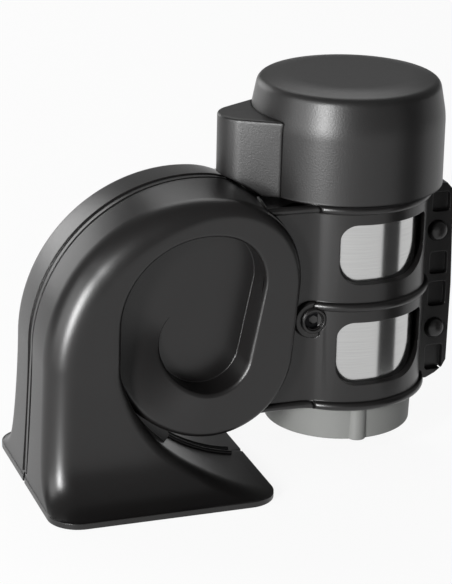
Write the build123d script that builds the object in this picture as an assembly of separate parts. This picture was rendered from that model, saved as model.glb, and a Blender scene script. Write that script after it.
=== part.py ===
"""Compact one-piece car air horn: a twin spiral trumpet beside an electric vane compressor.

Lengths are in millimetres, +Z is up and +Y is the side that is bolted to the vehicle.
Every piece is drawn from the compressor's axis (X = Y = 0) and the mouth's rim plane (Z = 0),
and is then shifted so that the origin lies at the mouth of the fixing thread.
In the trumpet, w is the distance forward of the seam between the two housings.
"""
from build123d import *
from math import asin, atan2, cos, degrees, exp, pi, radians, sin, sqrt
import os

# ---- origin: the mouth of the fixing thread, seen from the compressor's axis and the rim plane
FIX_X = -24.0
FIX_Y = 28.0
FIX_Z = 52.0

# ---- joint between the front and rear housings
SEAM_Y = -2.9
DIVIDER_T = 1.6
WALL = 1.8

# ---- trumpet: spiral seen from the front
EYE_X = -48.2
EYE_Z = 41.3
ARCH_R = 47.6
CROWN_R = 26.0
CROWN_TURN = 84.0
LOOP_R = 26.7
DEPTH = 21.1
FLOOR_DEPTH = 11.1
LEG_CORNER = 8.75
FRONT_CROWN_CORNER = 1.5
REAR_CROWN_CORNER = 5.0

# ---- sunk panel in the middle of the spiral
PANEL_X = -49.5
PANEL_Z = 52.0
PANEL_R = 25.0
PANEL_TURN = 75.0
PANEL_CORNER_R = 11.6
PANEL_END_R = 11.3
RAMP_END_R = 14.0

# ---- mouth
MOUTH_LEFT = -98.1
MOUTH_RIGHT = -31.2
MOUTH_FRONT_W = 35.4
MOUTH_REAR_W = 33.8
MOUTH_CORNER = 9.0
RIM_T = 1.7
LEG_INNER_X = -74.6
FLARE_TOP = 40.0
FLARE_POWER = 1.77
FLARE_LENGTH = 2.8

# ---- collar around the motor
COLLAR_IN_R = 22.15
COLLAR_R = 24.4
COLLAR_LOW = 19.9
COLLAR_HIGH = 82.4
BEAD_R = 1.3
BEAD_LEVELS = (21.2, 51.9, 81.1)
WINDOW_LEFT = -9.9
WINDOW_RIGHT = 19.2
WINDOW_LEVELS = ((27.8, 47.2), (58.8, 76.7))
WEB_FACE_W = 15.3
WEB_LOW = 20.0
WEB_HIGH = 82.0


# ---- web, joint flange and screws between the trumpet and the motor
WEB_LEFT = -33.5
WEB_RIGHT = -13.4
WEB_WALL = 2.3
WEB_BLEND = 7.0
FLANGE_POINTS = ((20.0, 81.3), (30.0, 81.3), (32.0, 79.0), (32.8, 49.4), (32.5, 25.2))
FLANGE_FOOT = ((31.3, 23.0), (29.1, 21.3), (26.2, 19.9), (20.0, 19.9))
FLANGE_PLATE_W = 1.6
FLANGE_RIB_W = 3.4
FLANGE_POCKETS = ((72.5, 78.6), (53.0, 60.0), (42.8, 50.6), (22.4, 30.4))
POCKET_LEFT = 25.6
POCKET_RIGHT = 31.2
FLANGE_SCREWS = ((27.5, 66.8), (28.0, 36.0))
FLANGE_BOSS_R = 2.6
FLANGE_BOSS_TIP_R = 1.8
FLANGE_BOSS_W = 5.1
FLANGE_SCREW_R = 1.1
FLANGE_HEAD_R = 2.7
FLANGE_HEAD_H = 1.7
CLAMP_X = -16.3
CLAMP_Z = 47.7
CLAMP_BOSS_R = 3.7
CLAMP_BOSS_W = 17.6
CLAMP_SCREW_R = 2.5
CLAMP_SCREW_FACE_Y = -19.5
CLAMP_HEX = 2.5
CLAMP_HEX_DEPTH = 1.6
CLAMP_TIP_R = 1.2

# ---- fixing point at the rear
FIX_BOSS_R = 8.0
FIX_BOSS_ROOT_Y = 11.0
FIX_RIB_T = 2.4
FIX_RIB_REACH = 17.0
FIX_RIB_SUNK = 4.0
INSERT_R = 5.3
INSERT_HOLE_R = 3.4
INSERT_LENGTH = 10.0

# ---- sounding unit in the middle of the spiral, and the duct that feeds it
DRIVER_X = -51.0
DRIVER_Z = 56.0
DRIVER_R = 14.0
DRIVER_W = 6.9
DIAPHRAGM_T = 0.3
CLAMP_RING_T = 1.8
CLAMP_RING_IN_R = 11.5
NOZZLE_R = 4.5
GROOVE_IN_R = 6.0
GROOVE_R = 12.0
GROOVE_DEPTH = 5.0
INLET_X = -31.0
INLET_BOSS_R = 6.8
INLET_BOSS_LOW = 74.0
SOCKET_R = 4.7
SOCKET_LOW = 78.9
DUCT_R = 3.0
DUCT_BORE_R = 2.0
DUCT_END_X = -41.3
DUCT_END_Z = 66.3

# ---- motor
CAN_R = 22.15
CAN_WALL = 1.3
CAN_LOW = 20.0
CAN_HIGH = 83.5
SHAFT_R = 2.0
SHAFT_LOW = 12.6
SHAFT_HIGH = 98.5
RUN_GAP = 0.03
BUSH_R = 5.0
BUSH_LENGTH = 5.0
MAGNET_IN_R = 17.3
MAGNET_LOW = 28.0
MAGNET_HIGH = 66.0
MAGNET_SPAN = 128.0
STACK_R = 16.5
STACK_LOW = 36.0
STACK_HIGH = 64.0
SLOT_COUNT = 5
SLOT_AT_R = 11.0
SLOT_R = 3.6
SLOT_GAP = 2.4
COIL_HEAD = 4.2
COIL_HEAD_R = 14.2
COIL_HEAD_IN_R = 5.6
COMM_R = 5.0
COMM_LOW = 24.0
COMM_HIGH = 31.0
COMM_SLIT = 0.5

# ---- end cap, brushes and terminals
END_LOW = 9.8
END_LOW_R = 21.8
END_SPIGOT_HIGH = 25.5
END_FLOOR = 12.6
END_CAVITY_R = 17.2
END_RIB_R = 2.7
END_RIB_ANGLE = -95.0
POCKET_X = 13.0
POCKET_Y = (6.0, 17.0)
POCKET_TOP = 18.0
POCKET_WALL = 1.4
PLATE_Z = (21.0, 23.0)
PLATE_R = 18.8
BRUSH_LOW = 25.2
BRUSH_HIGH = 29.2
BRUSH_W = 5.0
BRUSH_LENGTH = 6.0
BRUSH_GAP = 0.03
GUIDE_T = 0.8
SPRING_T = 0.4
SPRING_POST_X = 13.5
SPRING_POST_Y = 7.0
SPRING_POST_R = 1.5
TAB_X = 8.0
TAB_Y = 11.5
TAB_WIDTH = 6.3
TAB_T = 0.8
TAB_LOW = 11.2

# ---- vane pump
PUMP_BASE_R = 26.14
PUMP_BASE_HIGH = 87.0
PUMP_RING_R = 23.0
PUMP_BORE_R = 15.5
PUMP_OFFSET = 1.8
PUMP_RING_HIGH = 99.0
PUMP_COVER_HIGH = 102.0
ROTOR_R = 13.5
ROTOR_GAP = 0.05
VANE_SLOT_T = 1.6
VANE_SLOT_IN_R = 6.0
VANE_PLAY = 0.1
PUMP_SCREW_AT_R = 20.2
PUMP_SCREW_R = 1.5
PUMP_SCREW_HEAD_R = 2.8
PUMP_SCREW_HEAD_H = 2.0
PUMP_SCREW_LOW = 84.6
FILTER_R = (8.0, 20.0)
FILTER_T = 1.1
CAP_SEAL_IN_R = 24.9
CAP_SEAL_Z = (84.6, 85.8)

# ---- compressor cap and its outlet
CAP_LOW = 83.5
CAP_SIDE_R = 28.34
CAP_SHOULDER_R = 28.25
CAP_SHOULDER_Z = 104.0
CAP_BEVEL_R = 26.4
CAP_BEVEL_Z = 113.7
CAP_TOP_R = 19.45
CAP_TOP = 115.2
CAP_WALL = 2.2
CAP_POST_R = 2.5
CAP_POST_AT_R = 10.5
OUTLET_TOP = 105.5
OUTLET_NOSE_R = 8.5
OUTLET_FACE_TURN = 30.0
OUTLET_FACE_LENGTH = 24.0
OUTLET_BORE_R = 3.0
SPIGOT_R = 3.9
SPIGOT_BORE_R = 2.3
SPIGOT_LOW = 79.2
SADDLE_GAP = 0.3
DIVIDER_INSET = 0.3


# ======================================================================= drawing helpers
def at(x, z, w):
    """The point at x, z and w millimetres forward of the seam."""
    return Vector(x, SEAM_Y - w, z)


def rounded_face(corners, radii):
    """A planar face with straight sides, each corner rounded by its own radius."""
    count = len(corners)
    starts, mids, ends = [], [], []
    for i, corner in enumerate(corners):
        back = (corners[i - 1] - corner).normalized()
        ahead = (corners[(i + 1) % count] - corner).normalized()
        half = radians(back.get_angle(ahead)) / 2
        reach = radii[i] * cos(half) / sin(half)
        middle = (back + ahead).normalized()
        starts.append(corner + back * reach)
        ends.append(corner + ahead * reach)
        mids.append(corner + middle * (radii[i] / sin(half) - radii[i]))
    edges = []
    for i in range(count):
        edges.append(Edge.make_line(ends[i - 1], starts[i]))
        if radii[i] > 0:
            edges.append(Edge.make_three_point_arc(starts[i], mids[i], ends[i]))
    return Face(Wire(edges))


def polar(centre_x, centre_z, radius, angle):
    """The point (x, z) at an angle round a centre, seen from the front."""
    turn = radians(angle)
    return centre_x + radius * cos(turn), centre_z + radius * sin(turn)


def right_tangent(upper, upper_r, lower, lower_r):
    """The angle at which a straight line touches two circles on their right side."""
    along = atan2(upper[1] - lower[1], upper[0] - lower[0])
    gap = sqrt((upper[0] - lower[0]) ** 2 + (upper[1] - lower[1]) ** 2)
    return degrees(along - pi / 2 + asin((upper_r - lower_r) / gap))


def front_sketch(w):
    """The plane parallel to the seam and w forward of it, looking back along +Y."""
    return Plane((0, SEAM_Y - w, 0), x_dir=(1, 0, 0), z_dir=(0, -1, 0))


def prism(face, w_from, w_to):
    """A sketch in x and z carried from one depth to another."""
    return extrude(front_sketch(w_from) * face, amount=w_to - w_from, dir=(0, -1, 0))


def arc(centre, radius, start, end):
    """An arc round a centre from one angle to another, through the middle angle."""
    points = [polar(*centre, radius, a) for a in (start, (start + end) / 2, end)]
    return Edge.make_three_point_arc(*[Vector(x, z, 0) for x, z in points])


def closed(edges):
    """A face inside edges that follow each other, with a straight line where they leave a gap."""
    sides = []
    for i, edge in enumerate(edges):
        last = edges[i - 1] @ 1
        if (last - edge @ 0).length > 1e-6:
            sides.append(Edge.make_line(last, edge @ 0))
        sides.append(edge)
    return Face(Wire(sides))


def tube(radius, bore, low, high, x=0.0, y=0.0):
    """An upright cylinder, with a bore through it where one is asked for."""
    stock = Pos(x, y, low) * Cylinder(radius, high - low, align=(Align.CENTER, Align.CENTER, Align.MIN))
    if bore:
        stock -= Pos(x, y, low) * Cylinder(bore, high - low, align=(Align.CENTER, Align.CENTER, Align.MIN))
    return stock


def rod_y(radius, x, z, y_from, y_to):
    """A cylinder along +Y between two places."""
    lying = Plane((x, y_from, z), x_dir=(1, 0, 0), z_dir=(0, 1, 0))
    return extrude(lying * Circle(radius), amount=y_to - y_from)


# ======================================================================= trumpet
EYE = (EYE_X, EYE_Z)
CROWN = polar(EYE_X, EYE_Z, ARCH_R - CROWN_R, CROWN_TURN)
CROWN_END = right_tangent(CROWN, CROWN_R, EYE, LOOP_R)
PANEL = (PANEL_X, PANEL_Z)
PANEL_CORNER = polar(PANEL_X, PANEL_Z, PANEL_R - PANEL_CORNER_R, PANEL_TURN)
PANEL_END = right_tangent(PANEL_CORNER, PANEL_CORNER_R, EYE, PANEL_END_R)
LEG_LEVELS = (1.6, 2.6, 4.5, 7.5, 11.5, 16.5, 23.0, 31.5)
ARCH_ANGLES = (180, 168.5, 157, 145.5, 134, 122.5, 111, 99.5, 88)
RAMP_ANGLES = (-86, -100, -115, -130, -145, -160, -175, -190)
LAP = 0.04
PIERCE = 0.5
DRIVER_STACK_W = DRIVER_W + DIAPHRAGM_T + CLAMP_RING_T


def leg_outer_x(z):
    """Left wall of the leg: it leans out by the mouth's edge as it comes down."""
    return MOUTH_LEFT + 0.1 + (EYE_X - ARCH_R - MOUTH_LEFT - 0.1) * max(z, 0) / EYE_Z


def leg_inner_x(z):
    """Right wall of the leg: a quarter of a superellipse that opens into the mouth."""
    s = min(max((FLARE_TOP - z) / (FLARE_TOP - LEG_LEVELS[0]), 0), 1)
    opened = 1 - (1 - s ** FLARE_POWER) ** (1 / FLARE_POWER)
    return LEG_INNER_X + (MOUTH_RIGHT - 0.6 - LEG_INNER_X) * opened


def leg_depth(z, mouth_w):
    """Depth of the leg, which flares over its last few millimetres."""
    rise = max(z - LEG_LEVELS[0], 0)
    return DEPTH + (mouth_w - 0.6 - DEPTH) * exp(-rise / FLARE_LENGTH)


def leg_section(z, inset, mouth_w):
    """Level section of the leg at height z, set in by the wall for the passage."""
    left = leg_outer_x(z) + inset
    right = leg_inner_x(z + inset) - inset
    depth = leg_depth(z + inset, mouth_w) - inset
    low = DIVIDER_T / 2 - min(inset, PIERCE)
    share = (right - left) / (MOUTH_RIGHT - MOUTH_LEFT)
    corners = [at(right, z, low), at(left, z, low), at(left, z, depth), at(right, z, depth)]
    return rounded_face(corners, [0, 0, LEG_CORNER - inset, 1.0 + 8.0 * max(share - 0.33, 0)])


def arch_corner(angle, crown_corner):
    """Corner radius of the arch, large over the leg and small at the crown."""
    share = (1 + cos(radians((180 - angle) * 2))) / 2
    return crown_corner + (LEG_CORNER - crown_corner) * share


def radial_section(angle, inner_r, outer_r, low, depth, corner, inner_corner=0):
    """Section of the spiral on a plane through the eye."""
    inner = polar(*EYE, inner_r, angle)
    outer = polar(*EYE, outer_r, angle)
    corners = [at(*inner, low), at(*outer, low), at(*outer, depth), at(*inner, depth)]
    return rounded_face(corners, [0, 0, corner, inner_corner])


def panel_r(angle):
    """Distance from the eye to the sunk panel's edge, between 180 and 90 degrees."""
    turn = radians(angle)
    dx = PANEL_X - EYE_X
    dz = PANEL_Z - EYE_Z
    along = dx * cos(turn) + dz * sin(turn)
    on_arc = along + sqrt(along ** 2 + PANEL_R ** 2 - dx ** 2 - dz ** 2)
    on_side = (dx - PANEL_R) / min(cos(turn), -0.01)
    return on_side if on_side * sin(turn) < dz else on_arc


def ramp_share(angle):
    """How far the ramp has sunk, from 0 under the eye to 1 at its left."""
    return max(-90 - angle, 0) ** 1.5 / 90 ** 1.5


def ramp_section(angle, inset, crown_corner):
    """Section of the ramp that lets the passage down to the eye."""
    share = ramp_share(angle)
    inner = PANEL_END_R + (RAMP_END_R - PANEL_END_R) * share + inset
    outer = LOOP_R + 2.5 * share - inset - LAP
    depth = DEPTH - LAP + (FLOOR_DEPTH - DEPTH) * share - inset
    corner = crown_corner + (3.0 - crown_corner) * min(share, 1)
    low = DIVIDER_T / 2 - min(inset, PIERCE)
    return radial_section(angle, inner, outer, low, depth, max(corner - inset, 0))


def arch_section(angle, inset, crown_corner):
    """Section of the arch between the outline and the sunk panel's edge."""
    inner = panel_r(angle) + inset + LAP
    corner = max(arch_corner(angle, crown_corner) - inset, 0.3)
    outer = ARCH_R - inset - LAP
    low = DIVIDER_T / 2 - min(inset, PIERCE)
    return radial_section(angle, inner, outer, low, DEPTH - inset - LAP, corner, 1.0)


def crown_face(inset):
    """Right half of the spiral seen from the front, from the crown round to the foot of the loop."""
    top = arc(EYE, ARCH_R - inset, 90, CROWN_TURN)
    crown = arc(CROWN, CROWN_R - inset, CROWN_TURN, CROWN_END)
    loop = arc(EYE, LOOP_R - inset, CROWN_END, -90)
    return closed([top, crown, loop])


def panel_face(grow):
    """The sunk panel seen from the front, larger by grow."""
    upper = arc(PANEL, PANEL_R + grow, 180, PANEL_TURN)
    corner = arc(PANEL_CORNER, PANEL_CORNER_R + grow, PANEL_TURN, PANEL_END)
    end = arc(EYE, PANEL_END_R + grow, PANEL_END, -90)
    step = Edge.make_line(Vector(EYE_X, EYE_Z - PANEL_END_R - grow, 0), Vector(EYE_X, EYE_Z, 0))
    foot = Edge.make_line(Vector(EYE_X, EYE_Z, 0), Vector(PANEL_X - PANEL_R - grow, EYE_Z, 0))
    return closed([upper, corner, end, step, foot])


def rim(mouth_w):
    """Flat rim round the mouth on this side of the seam."""
    low = DIVIDER_T / 2
    corners = [at(MOUTH_LEFT, 0, low), at(MOUTH_RIGHT, 0, low)]
    corners += [at(MOUTH_RIGHT, 0, mouth_w), at(MOUTH_LEFT, 0, mouth_w)]
    face = rounded_face(corners, [0, 0, MOUTH_CORNER, MOUTH_CORNER])
    return extrude(face, amount=RIM_T, dir=(0, 0, 1))


def seam_rib():
    """Raised edge that stiffens the seam along the flare's right wall."""
    levels = (RIM_T, 2.2, 3.6, 6.0, 9.0, 12.0)
    upper = [Vector(leg_inner_x(z) + 0.4, z + 1.5, 0) for z in levels]
    lower = [Vector(leg_inner_x(z) - 0.6, z - 0.8, 0) for z in levels]
    edges = [Edge.make_spline(upper), Edge.make_line(upper[-1], lower[-1])]
    edges += [Edge.make_spline(lower[::-1]), Edge.make_line(lower[0], upper[0])]
    return prism(Face(Wire(edges)), DIVIDER_T / 2, 3.0)


def crotch():
    """Gusset where the foot of the loop meets the flare."""
    outline = [(-73.4, 33.0), (-70.0, 22.0), (-63.0, 14.0), (-57.0, 10.6)]
    outline += [(-54.6, 12.5), (-53.6, 16.6), (-60.0, 22.0), (-66.0, 31.0)]
    points = [Vector(x, z, 0) for x, z in outline]
    return prism(Face(Wire.make_polygon(points, close=True)), DIVIDER_T / 2, 16.0)


def trumpet_outside(mouth_w, crown_corner):
    """One side of the spiral trumpet as a closed body, before its passage is cut."""
    low = DIVIDER_T / 2
    sections = [leg_section(z, 0, mouth_w) for z in LEG_LEVELS]
    leg = loft(sections + [arch_section(a, 0, crown_corner) for a in ARCH_ANGLES])
    crown = prism(crown_face(0), low, DEPTH)
    front_edges = crown.edges().filter_by(GeomType.CIRCLE).group_by(Axis.Y)[0]
    crown = fillet(front_edges, crown_corner)
    crown -= prism(panel_face(0), FLOOR_DEPTH, DEPTH + 5)
    ramp = loft([ramp_section(a, 0, crown_corner) for a in RAMP_ANGLES])
    floor = prism(panel_face(3.0), low, FLOOR_DEPTH)
    eye = prism(Pos(EYE_X, EYE_Z) * Circle(RAMP_END_R + 1.5), low, FLOOR_DEPTH)
    return crown + [floor, eye, leg, ramp, rim(mouth_w), seam_rib(), crotch()]


def trumpet_passage(mouth_w, crown_corner):
    """The air passage of one side, from the mouth round the spiral to the sounding unit."""
    low = DIVIDER_T / 2 - PIERCE
    sections = [leg_section(z - WALL, WALL, mouth_w) for z in LEG_LEVELS]
    leg = loft(sections + [arch_section(a, WALL, crown_corner) for a in ARCH_ANGLES])
    band = crown_face(WALL) - panel_face(WALL)
    crown = prism(band, low, DEPTH - WALL)
    crown -= tube(COLLAR_R, 0, COLLAR_LOW, CROWN[1] + CROWN_R)
    ramp = loft([ramp_section(a, WALL, crown_corner) for a in RAMP_ANGLES])
    chamber = prism(Pos(DRIVER_X, DRIVER_Z) * Circle(DRIVER_R), low, DRIVER_STACK_W)
    outline = [(-72.5, 41.4), (-66.5, 41.4), (-60.0, 50.0), (-60.0, 60.0), (-66.0, 60.0), (-73.0, 50.0)]
    points = [Vector(x, z, 0) for x, z in outline]
    throat = prism(Face(Wire.make_polygon(points, close=True)), low, FLOOR_DEPTH - WALL)
    return crown + [leg, ramp, chamber, throat]


def trumpet_outline(inset):
    """Everything inside the trumpet's outline seen from the front, as faces that overlap."""
    left_foot = Vector(MOUTH_LEFT + 0.1 + inset, 0, 0)
    left_top = Vector(EYE_X - ARCH_R + inset, EYE_Z, 0)
    eye = Vector(EYE_X, EYE_Z, 0)
    arch = arc(EYE, ARCH_R - inset, 180, 90)
    quarter = closed([arch, Edge.make_line(arch @ 1, eye)])
    levels = (FLARE_TOP, 31.5, 23.0, 16.5, 11.5, 7.5, 4.5, 2.6, LEG_LEVELS[0])
    wall = Edge.make_spline([Vector(leg_inner_x(z) - inset, z, 0) for z in levels])
    foot = Vector(MOUTH_RIGHT - 0.6 - inset, 0, 0)
    leg = closed([wall, Edge.make_line(wall @ 1, foot), Edge.make_line(foot, left_foot),
                  Edge.make_line(left_foot, left_top), Edge.make_line(left_top, eye)])
    angles = (-90, -112.5, -135, -157.5, -180)
    turns = [polar(*EYE, LOOP_R + 2.5 * ramp_share(a) - inset, a) for a in angles]
    loop = Edge.make_spline([Vector(x, z, 0) for x, z in turns])
    ramp = closed([loop, Edge.make_line(loop @ 1, eye)])
    return [crown_face(inset), quarter, leg, ramp]


def outline_prism(inset, w_from, w_to):
    """The trumpet's outline carried through some depth."""
    first, *others = [prism(face, w_from, w_to) for face in trumpet_outline(inset)]
    return first + others


# ======================================================================= collar, web and joint flange
def half_space(front):
    """A block that holds everything on one side of the seam."""
    away = -100 if front else 100
    return Pos(-30, SEAM_Y + away, 50) * Box(300, 200, 300)


def collar():
    """Cylinder that grips the motor, with a half-round bead at three levels."""
    body = tube(COLLAR_R, 0, COLLAR_LOW, COLLAR_HIGH)
    return body + [Pos(0, 0, z) * Torus(COLLAR_R, BEAD_R) for z in BEAD_LEVELS]


def web():
    """Hollow bridge between the trumpet and the collar, blended into the collar."""
    depth = 2 * WEB_FACE_W
    centre = ((WEB_LEFT + WEB_RIGHT) / 2, SEAM_Y, (WEB_LOW + WEB_HIGH) / 2)
    block = Pos(*centre) * Box(WEB_RIGHT - WEB_LEFT, depth, WEB_HIGH - WEB_LOW)
    ends = block.edges().filter_by(Axis.Z).group_by(Axis.X)[-1]
    return fillet(ends, 3.0)


def web_hollow():
    """Room inside the web, between the trumpet's wall and the collar's wall."""
    depth = 2 * (WEB_FACE_W - WEB_WALL)
    height = WEB_HIGH - WEB_LOW - 2 * WEB_WALL
    centre = ((WEB_LEFT + WEB_RIGHT) / 2, SEAM_Y, (WEB_LOW + WEB_HIGH) / 2)
    room = Pos(*centre) * Box(WEB_RIGHT - WEB_LEFT, depth, height)
    room -= tube(COLLAR_R + BEAD_R, 0, COLLAR_LOW, COLLAR_HIGH)
    return room - outline_prism(0, -DEPTH, DEPTH)


def flange_face():
    """Outline of the joint flange seen from the front."""
    points = [Vector(x, z, 0) for x, z in FLANGE_POINTS + FLANGE_FOOT]
    return Face(Wire.make_polygon(points, close=True))


def flange():
    """Joint flange down the right side, ribbed round its edge, with two screw pads."""
    body = prism(flange_face(), -FLANGE_RIB_W, FLANGE_RIB_W)
    for low, high in FLANGE_POCKETS:
        centre = ((POCKET_LEFT + POCKET_RIGHT) / 2, (low + high) / 2)
        hole = Pos(*centre) * RectangleRounded(POCKET_RIGHT - POCKET_LEFT, high - low, 1.0)
        body -= prism(hole, FLANGE_PLATE_W, FLANGE_RIB_W + 1)
        body -= prism(hole, -FLANGE_RIB_W - 1, -FLANGE_PLATE_W)
    return body


def flange_boss(x, z):
    """Blind tapered boss on the front flange that takes a joint screw."""
    root = front_sketch(FLANGE_RIB_W) * (Pos(x, z) * Circle(FLANGE_BOSS_R))
    tip = front_sketch(FLANGE_BOSS_W) * (Pos(x, z) * Circle(FLANGE_BOSS_TIP_R))
    return loft([root, tip])


def windows():
    """Two openings through the collar that show the motor, cut straight through from the front."""
    cuts = []
    for low, high in WINDOW_LEVELS:
        corners = [Vector(WINDOW_LEFT, low, 0), Vector(WINDOW_RIGHT, low, 0)]
        corners += [Vector(WINDOW_RIGHT, high, 0), Vector(WINDOW_LEFT, high, 0)]
        face = rounded_face(corners, [6.0, 9.0, 2.0, 5.0])
        cuts.append(prism(face, -40, 40))
    return cuts


def clamp_body():
    """Collar, web and flange in one, before the halves are parted at the seam."""
    body = collar() + [web(), flange()]
    for x, z in FLANGE_SCREWS:
        body += flange_boss(x, z)
    body += rod_y(CLAMP_BOSS_R, CLAMP_X, CLAMP_Z, SEAM_Y - CLAMP_BOSS_W, SEAM_Y - 8)
    body -= windows()
    body -= web_hollow()
    return body - outline_prism(0, -DIVIDER_T / 2, DIVIDER_T / 2)


def inlet_boss():
    """Socket inside the crown that takes the cap's spigot."""
    stock = tube(INLET_BOSS_R, 0, INLET_BOSS_LOW, CROWN[1] + CROWN_R, INLET_X, SEAM_Y)
    return stock & outline_prism(0.5, -INLET_BOSS_R, INLET_BOSS_R)


def duct(radius):
    """Straight rod on the seam from the inlet socket to the sounding unit."""
    foot = Vector(DUCT_END_X, SEAM_Y, DUCT_END_Z)
    head = Vector(INLET_X, SEAM_Y, SOCKET_LOW + 1)
    line = Plane(foot, z_dir=head - foot)
    return extrude(line * Circle(radius), amount=(head - foot).length)


def socket():
    """Round room that the cap's spigot goes down into."""
    return tube(SOCKET_R, 0, SOCKET_LOW, CROWN[1] + CROWN_R, INLET_X, SEAM_Y)


# ======================================================================= housings and divider
def bored(body, cuts):
    """The largest solid left once the cuts are taken away."""
    return (body - cuts).solids().sort_by(SortBy.VOLUME)[-1]


def front_housing(clamp):
    """Front half of the moulding: half the trumpet, web, collar and flange."""
    shell = trumpet_outside(MOUTH_FRONT_W, FRONT_CROWN_CORNER) + (clamp & half_space(True))
    shell -= trumpet_passage(MOUTH_FRONT_W, FRONT_CROWN_CORNER)
    shell += inlet_boss() & front_room()
    screws = [rod_y(FLANGE_SCREW_R, x, z, SEAM_Y - FLANGE_BOSS_W + 1.3, SEAM_Y) for x, z in FLANGE_SCREWS]
    screws.append(rod_y(CLAMP_SCREW_R, CLAMP_X, CLAMP_Z, SEAM_Y - CLAMP_BOSS_W - 1, SEAM_Y))
    bore = tube(COLLAR_IN_R, 0, COLLAR_LOW - 1, COLLAR_HIGH + 1)
    return bored(shell, [bore, socket(), duct(DUCT_R)] + screws)


def front_room():
    """The space in front of the divider plate."""
    return Pos(-60, SEAM_Y - DIVIDER_T / 2 - 50, 50) * Box(200, 100, 200)


def boss_rib(turn):
    """Rib from the fixing boss down to the back of the housing, at an angle seen from the front."""
    outward = Vector(cos(radians(turn)), 0, sin(radians(turn)))
    foot_y = SEAM_Y + DEPTH - FIX_RIB_SUNK
    top_y = FIX_Y - 2
    profile = [(0, foot_y), (FIX_RIB_REACH, foot_y), (FIX_BOSS_R - 0.5, top_y), (0, top_y)]
    points = [Vector(FIX_X, y, FIX_Z) + outward * r for r, y in profile]
    return extrude(Face(Wire.make_polygon(points, close=True)), amount=FIX_RIB_T / 2, both=True)


def fixing_boss():
    """Round boss at the rear that carries the fixing thread, and its three ribs."""
    boss = rod_y(FIX_BOSS_R, FIX_X, FIX_Z, FIX_BOSS_ROOT_Y, FIX_Y)
    return [boss] + [boss_rib(turn) for turn in (90, 180, 270)]


def rear_housing(clamp):
    """Rear half of the moulding, with the fixing boss."""
    mirror_plane = Plane.XZ.offset(-SEAM_Y)
    outside = mirror(trumpet_outside(MOUTH_REAR_W, REAR_CROWN_CORNER), mirror_plane)
    passage = mirror(trumpet_passage(MOUTH_REAR_W, REAR_CROWN_CORNER), mirror_plane)
    shell = outside + ([clamp & half_space(False)] + fixing_boss())
    shell -= passage
    shell += inlet_boss() & mirror(front_room(), mirror_plane)
    cuts = [tube(COLLAR_IN_R, 0, COLLAR_LOW - 1, COLLAR_HIGH + 1), socket(), duct(DUCT_R)]
    cuts.append(rod_y(INSERT_R, FIX_X, FIX_Z, FIX_Y - INSERT_LENGTH, FIX_Y + 1))
    for x, z in FLANGE_SCREWS:
        cuts.append(rod_y(FLANGE_SCREW_R + 0.3, x, z, SEAM_Y, 40))
    return bored(shell, cuts)


def divider_plate():
    """Flat plate between the two passages, with the air duct moulded on it."""
    plate = outline_prism(DIVIDER_INSET, -DIVIDER_T / 2, DIVIDER_T / 2)
    plate -= [tube(COLLAR_R, 0, COLLAR_LOW - 5, CROWN[1] + CROWN_R), socket()]
    plate -= tube(INLET_BOSS_R, 0, SOCKET_LOW, CROWN[1] + CROWN_R, INLET_X, SEAM_Y)
    plate -= rod_y(DRIVER_R, DRIVER_X, DRIVER_Z, SEAM_Y - 2, SEAM_Y + 2)
    plate += duct(DUCT_R)
    plate -= [socket(), rod_y(DRIVER_R, DRIVER_X, DRIVER_Z, SEAM_Y - 5, SEAM_Y + 5)]
    return bored(plate, [duct(DUCT_BORE_R)])


# ======================================================================= sounding unit
def driver_body():
    """Body of the sounding unit: a nozzle on each side inside a ring-shaped air chamber."""
    body = rod_y(DRIVER_R, DRIVER_X, DRIVER_Z, SEAM_Y - DRIVER_W, SEAM_Y + DRIVER_W)
    ring = Circle(GROOVE_R) - Circle(GROOVE_IN_R)
    for low, high in ((DRIVER_W - GROOVE_DEPTH, DRIVER_W + 1), (-DRIVER_W - 1, GROOVE_DEPTH - DRIVER_W)):
        body -= prism(Pos(DRIVER_X, DRIVER_Z) * ring, low, high)
    turn = atan2(DUCT_END_Z - DRIVER_Z, DUCT_END_X - DRIVER_X)
    cross_r = (GROOVE_IN_R + GROOVE_R) / 2
    cross_x, cross_z = DRIVER_X + cross_r * cos(turn), DRIVER_Z + cross_r * sin(turn)
    body -= rod_y(DUCT_BORE_R, cross_x, cross_z, SEAM_Y - DRIVER_W, SEAM_Y + DRIVER_W)
    inward = Plane((cross_x, SEAM_Y, cross_z), z_dir=(cos(turn), 0, sin(turn)))
    body -= extrude(inward * Circle(DUCT_BORE_R), amount=DRIVER_R)
    for w in (-DRIVER_W - 1, DIVIDER_T / 2):
        body -= prism(Pos(DRIVER_X, DRIVER_Z) * Circle(NOZZLE_R), w, w + DRIVER_W + 1 - DIVIDER_T / 2)
    return body


def nozzle_outlet(front):
    """Slot that leads a nozzle's air sideways to the start of its passage."""
    low = DIVIDER_T / 2
    high = DRIVER_W - GROOVE_DEPTH - 0.3
    slot = Pos(DRIVER_X - DRIVER_R / 2 - 1, DRIVER_Z) * Rectangle(DRIVER_R + 2, 2 * NOZZLE_R - 1)
    return prism(slot, low, high) if front else prism(slot, -high, -low)


def diaphragm(front):
    """Thin sprung disc that sounds against the nozzle."""
    low = DRIVER_W if front else -DRIVER_W - DIAPHRAGM_T
    return prism(Pos(DRIVER_X, DRIVER_Z) * Circle(DRIVER_R), low, low + DIAPHRAGM_T)


def clamp_ring(front):
    """Ring that holds a diaphragm's edge against the body."""
    low = DRIVER_W + DIAPHRAGM_T if front else -DRIVER_STACK_W
    ring = Circle(DRIVER_R) - Circle(CLAMP_RING_IN_R)
    return prism(Pos(DRIVER_X, DRIVER_Z) * ring, low, low + CLAMP_RING_T)


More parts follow.
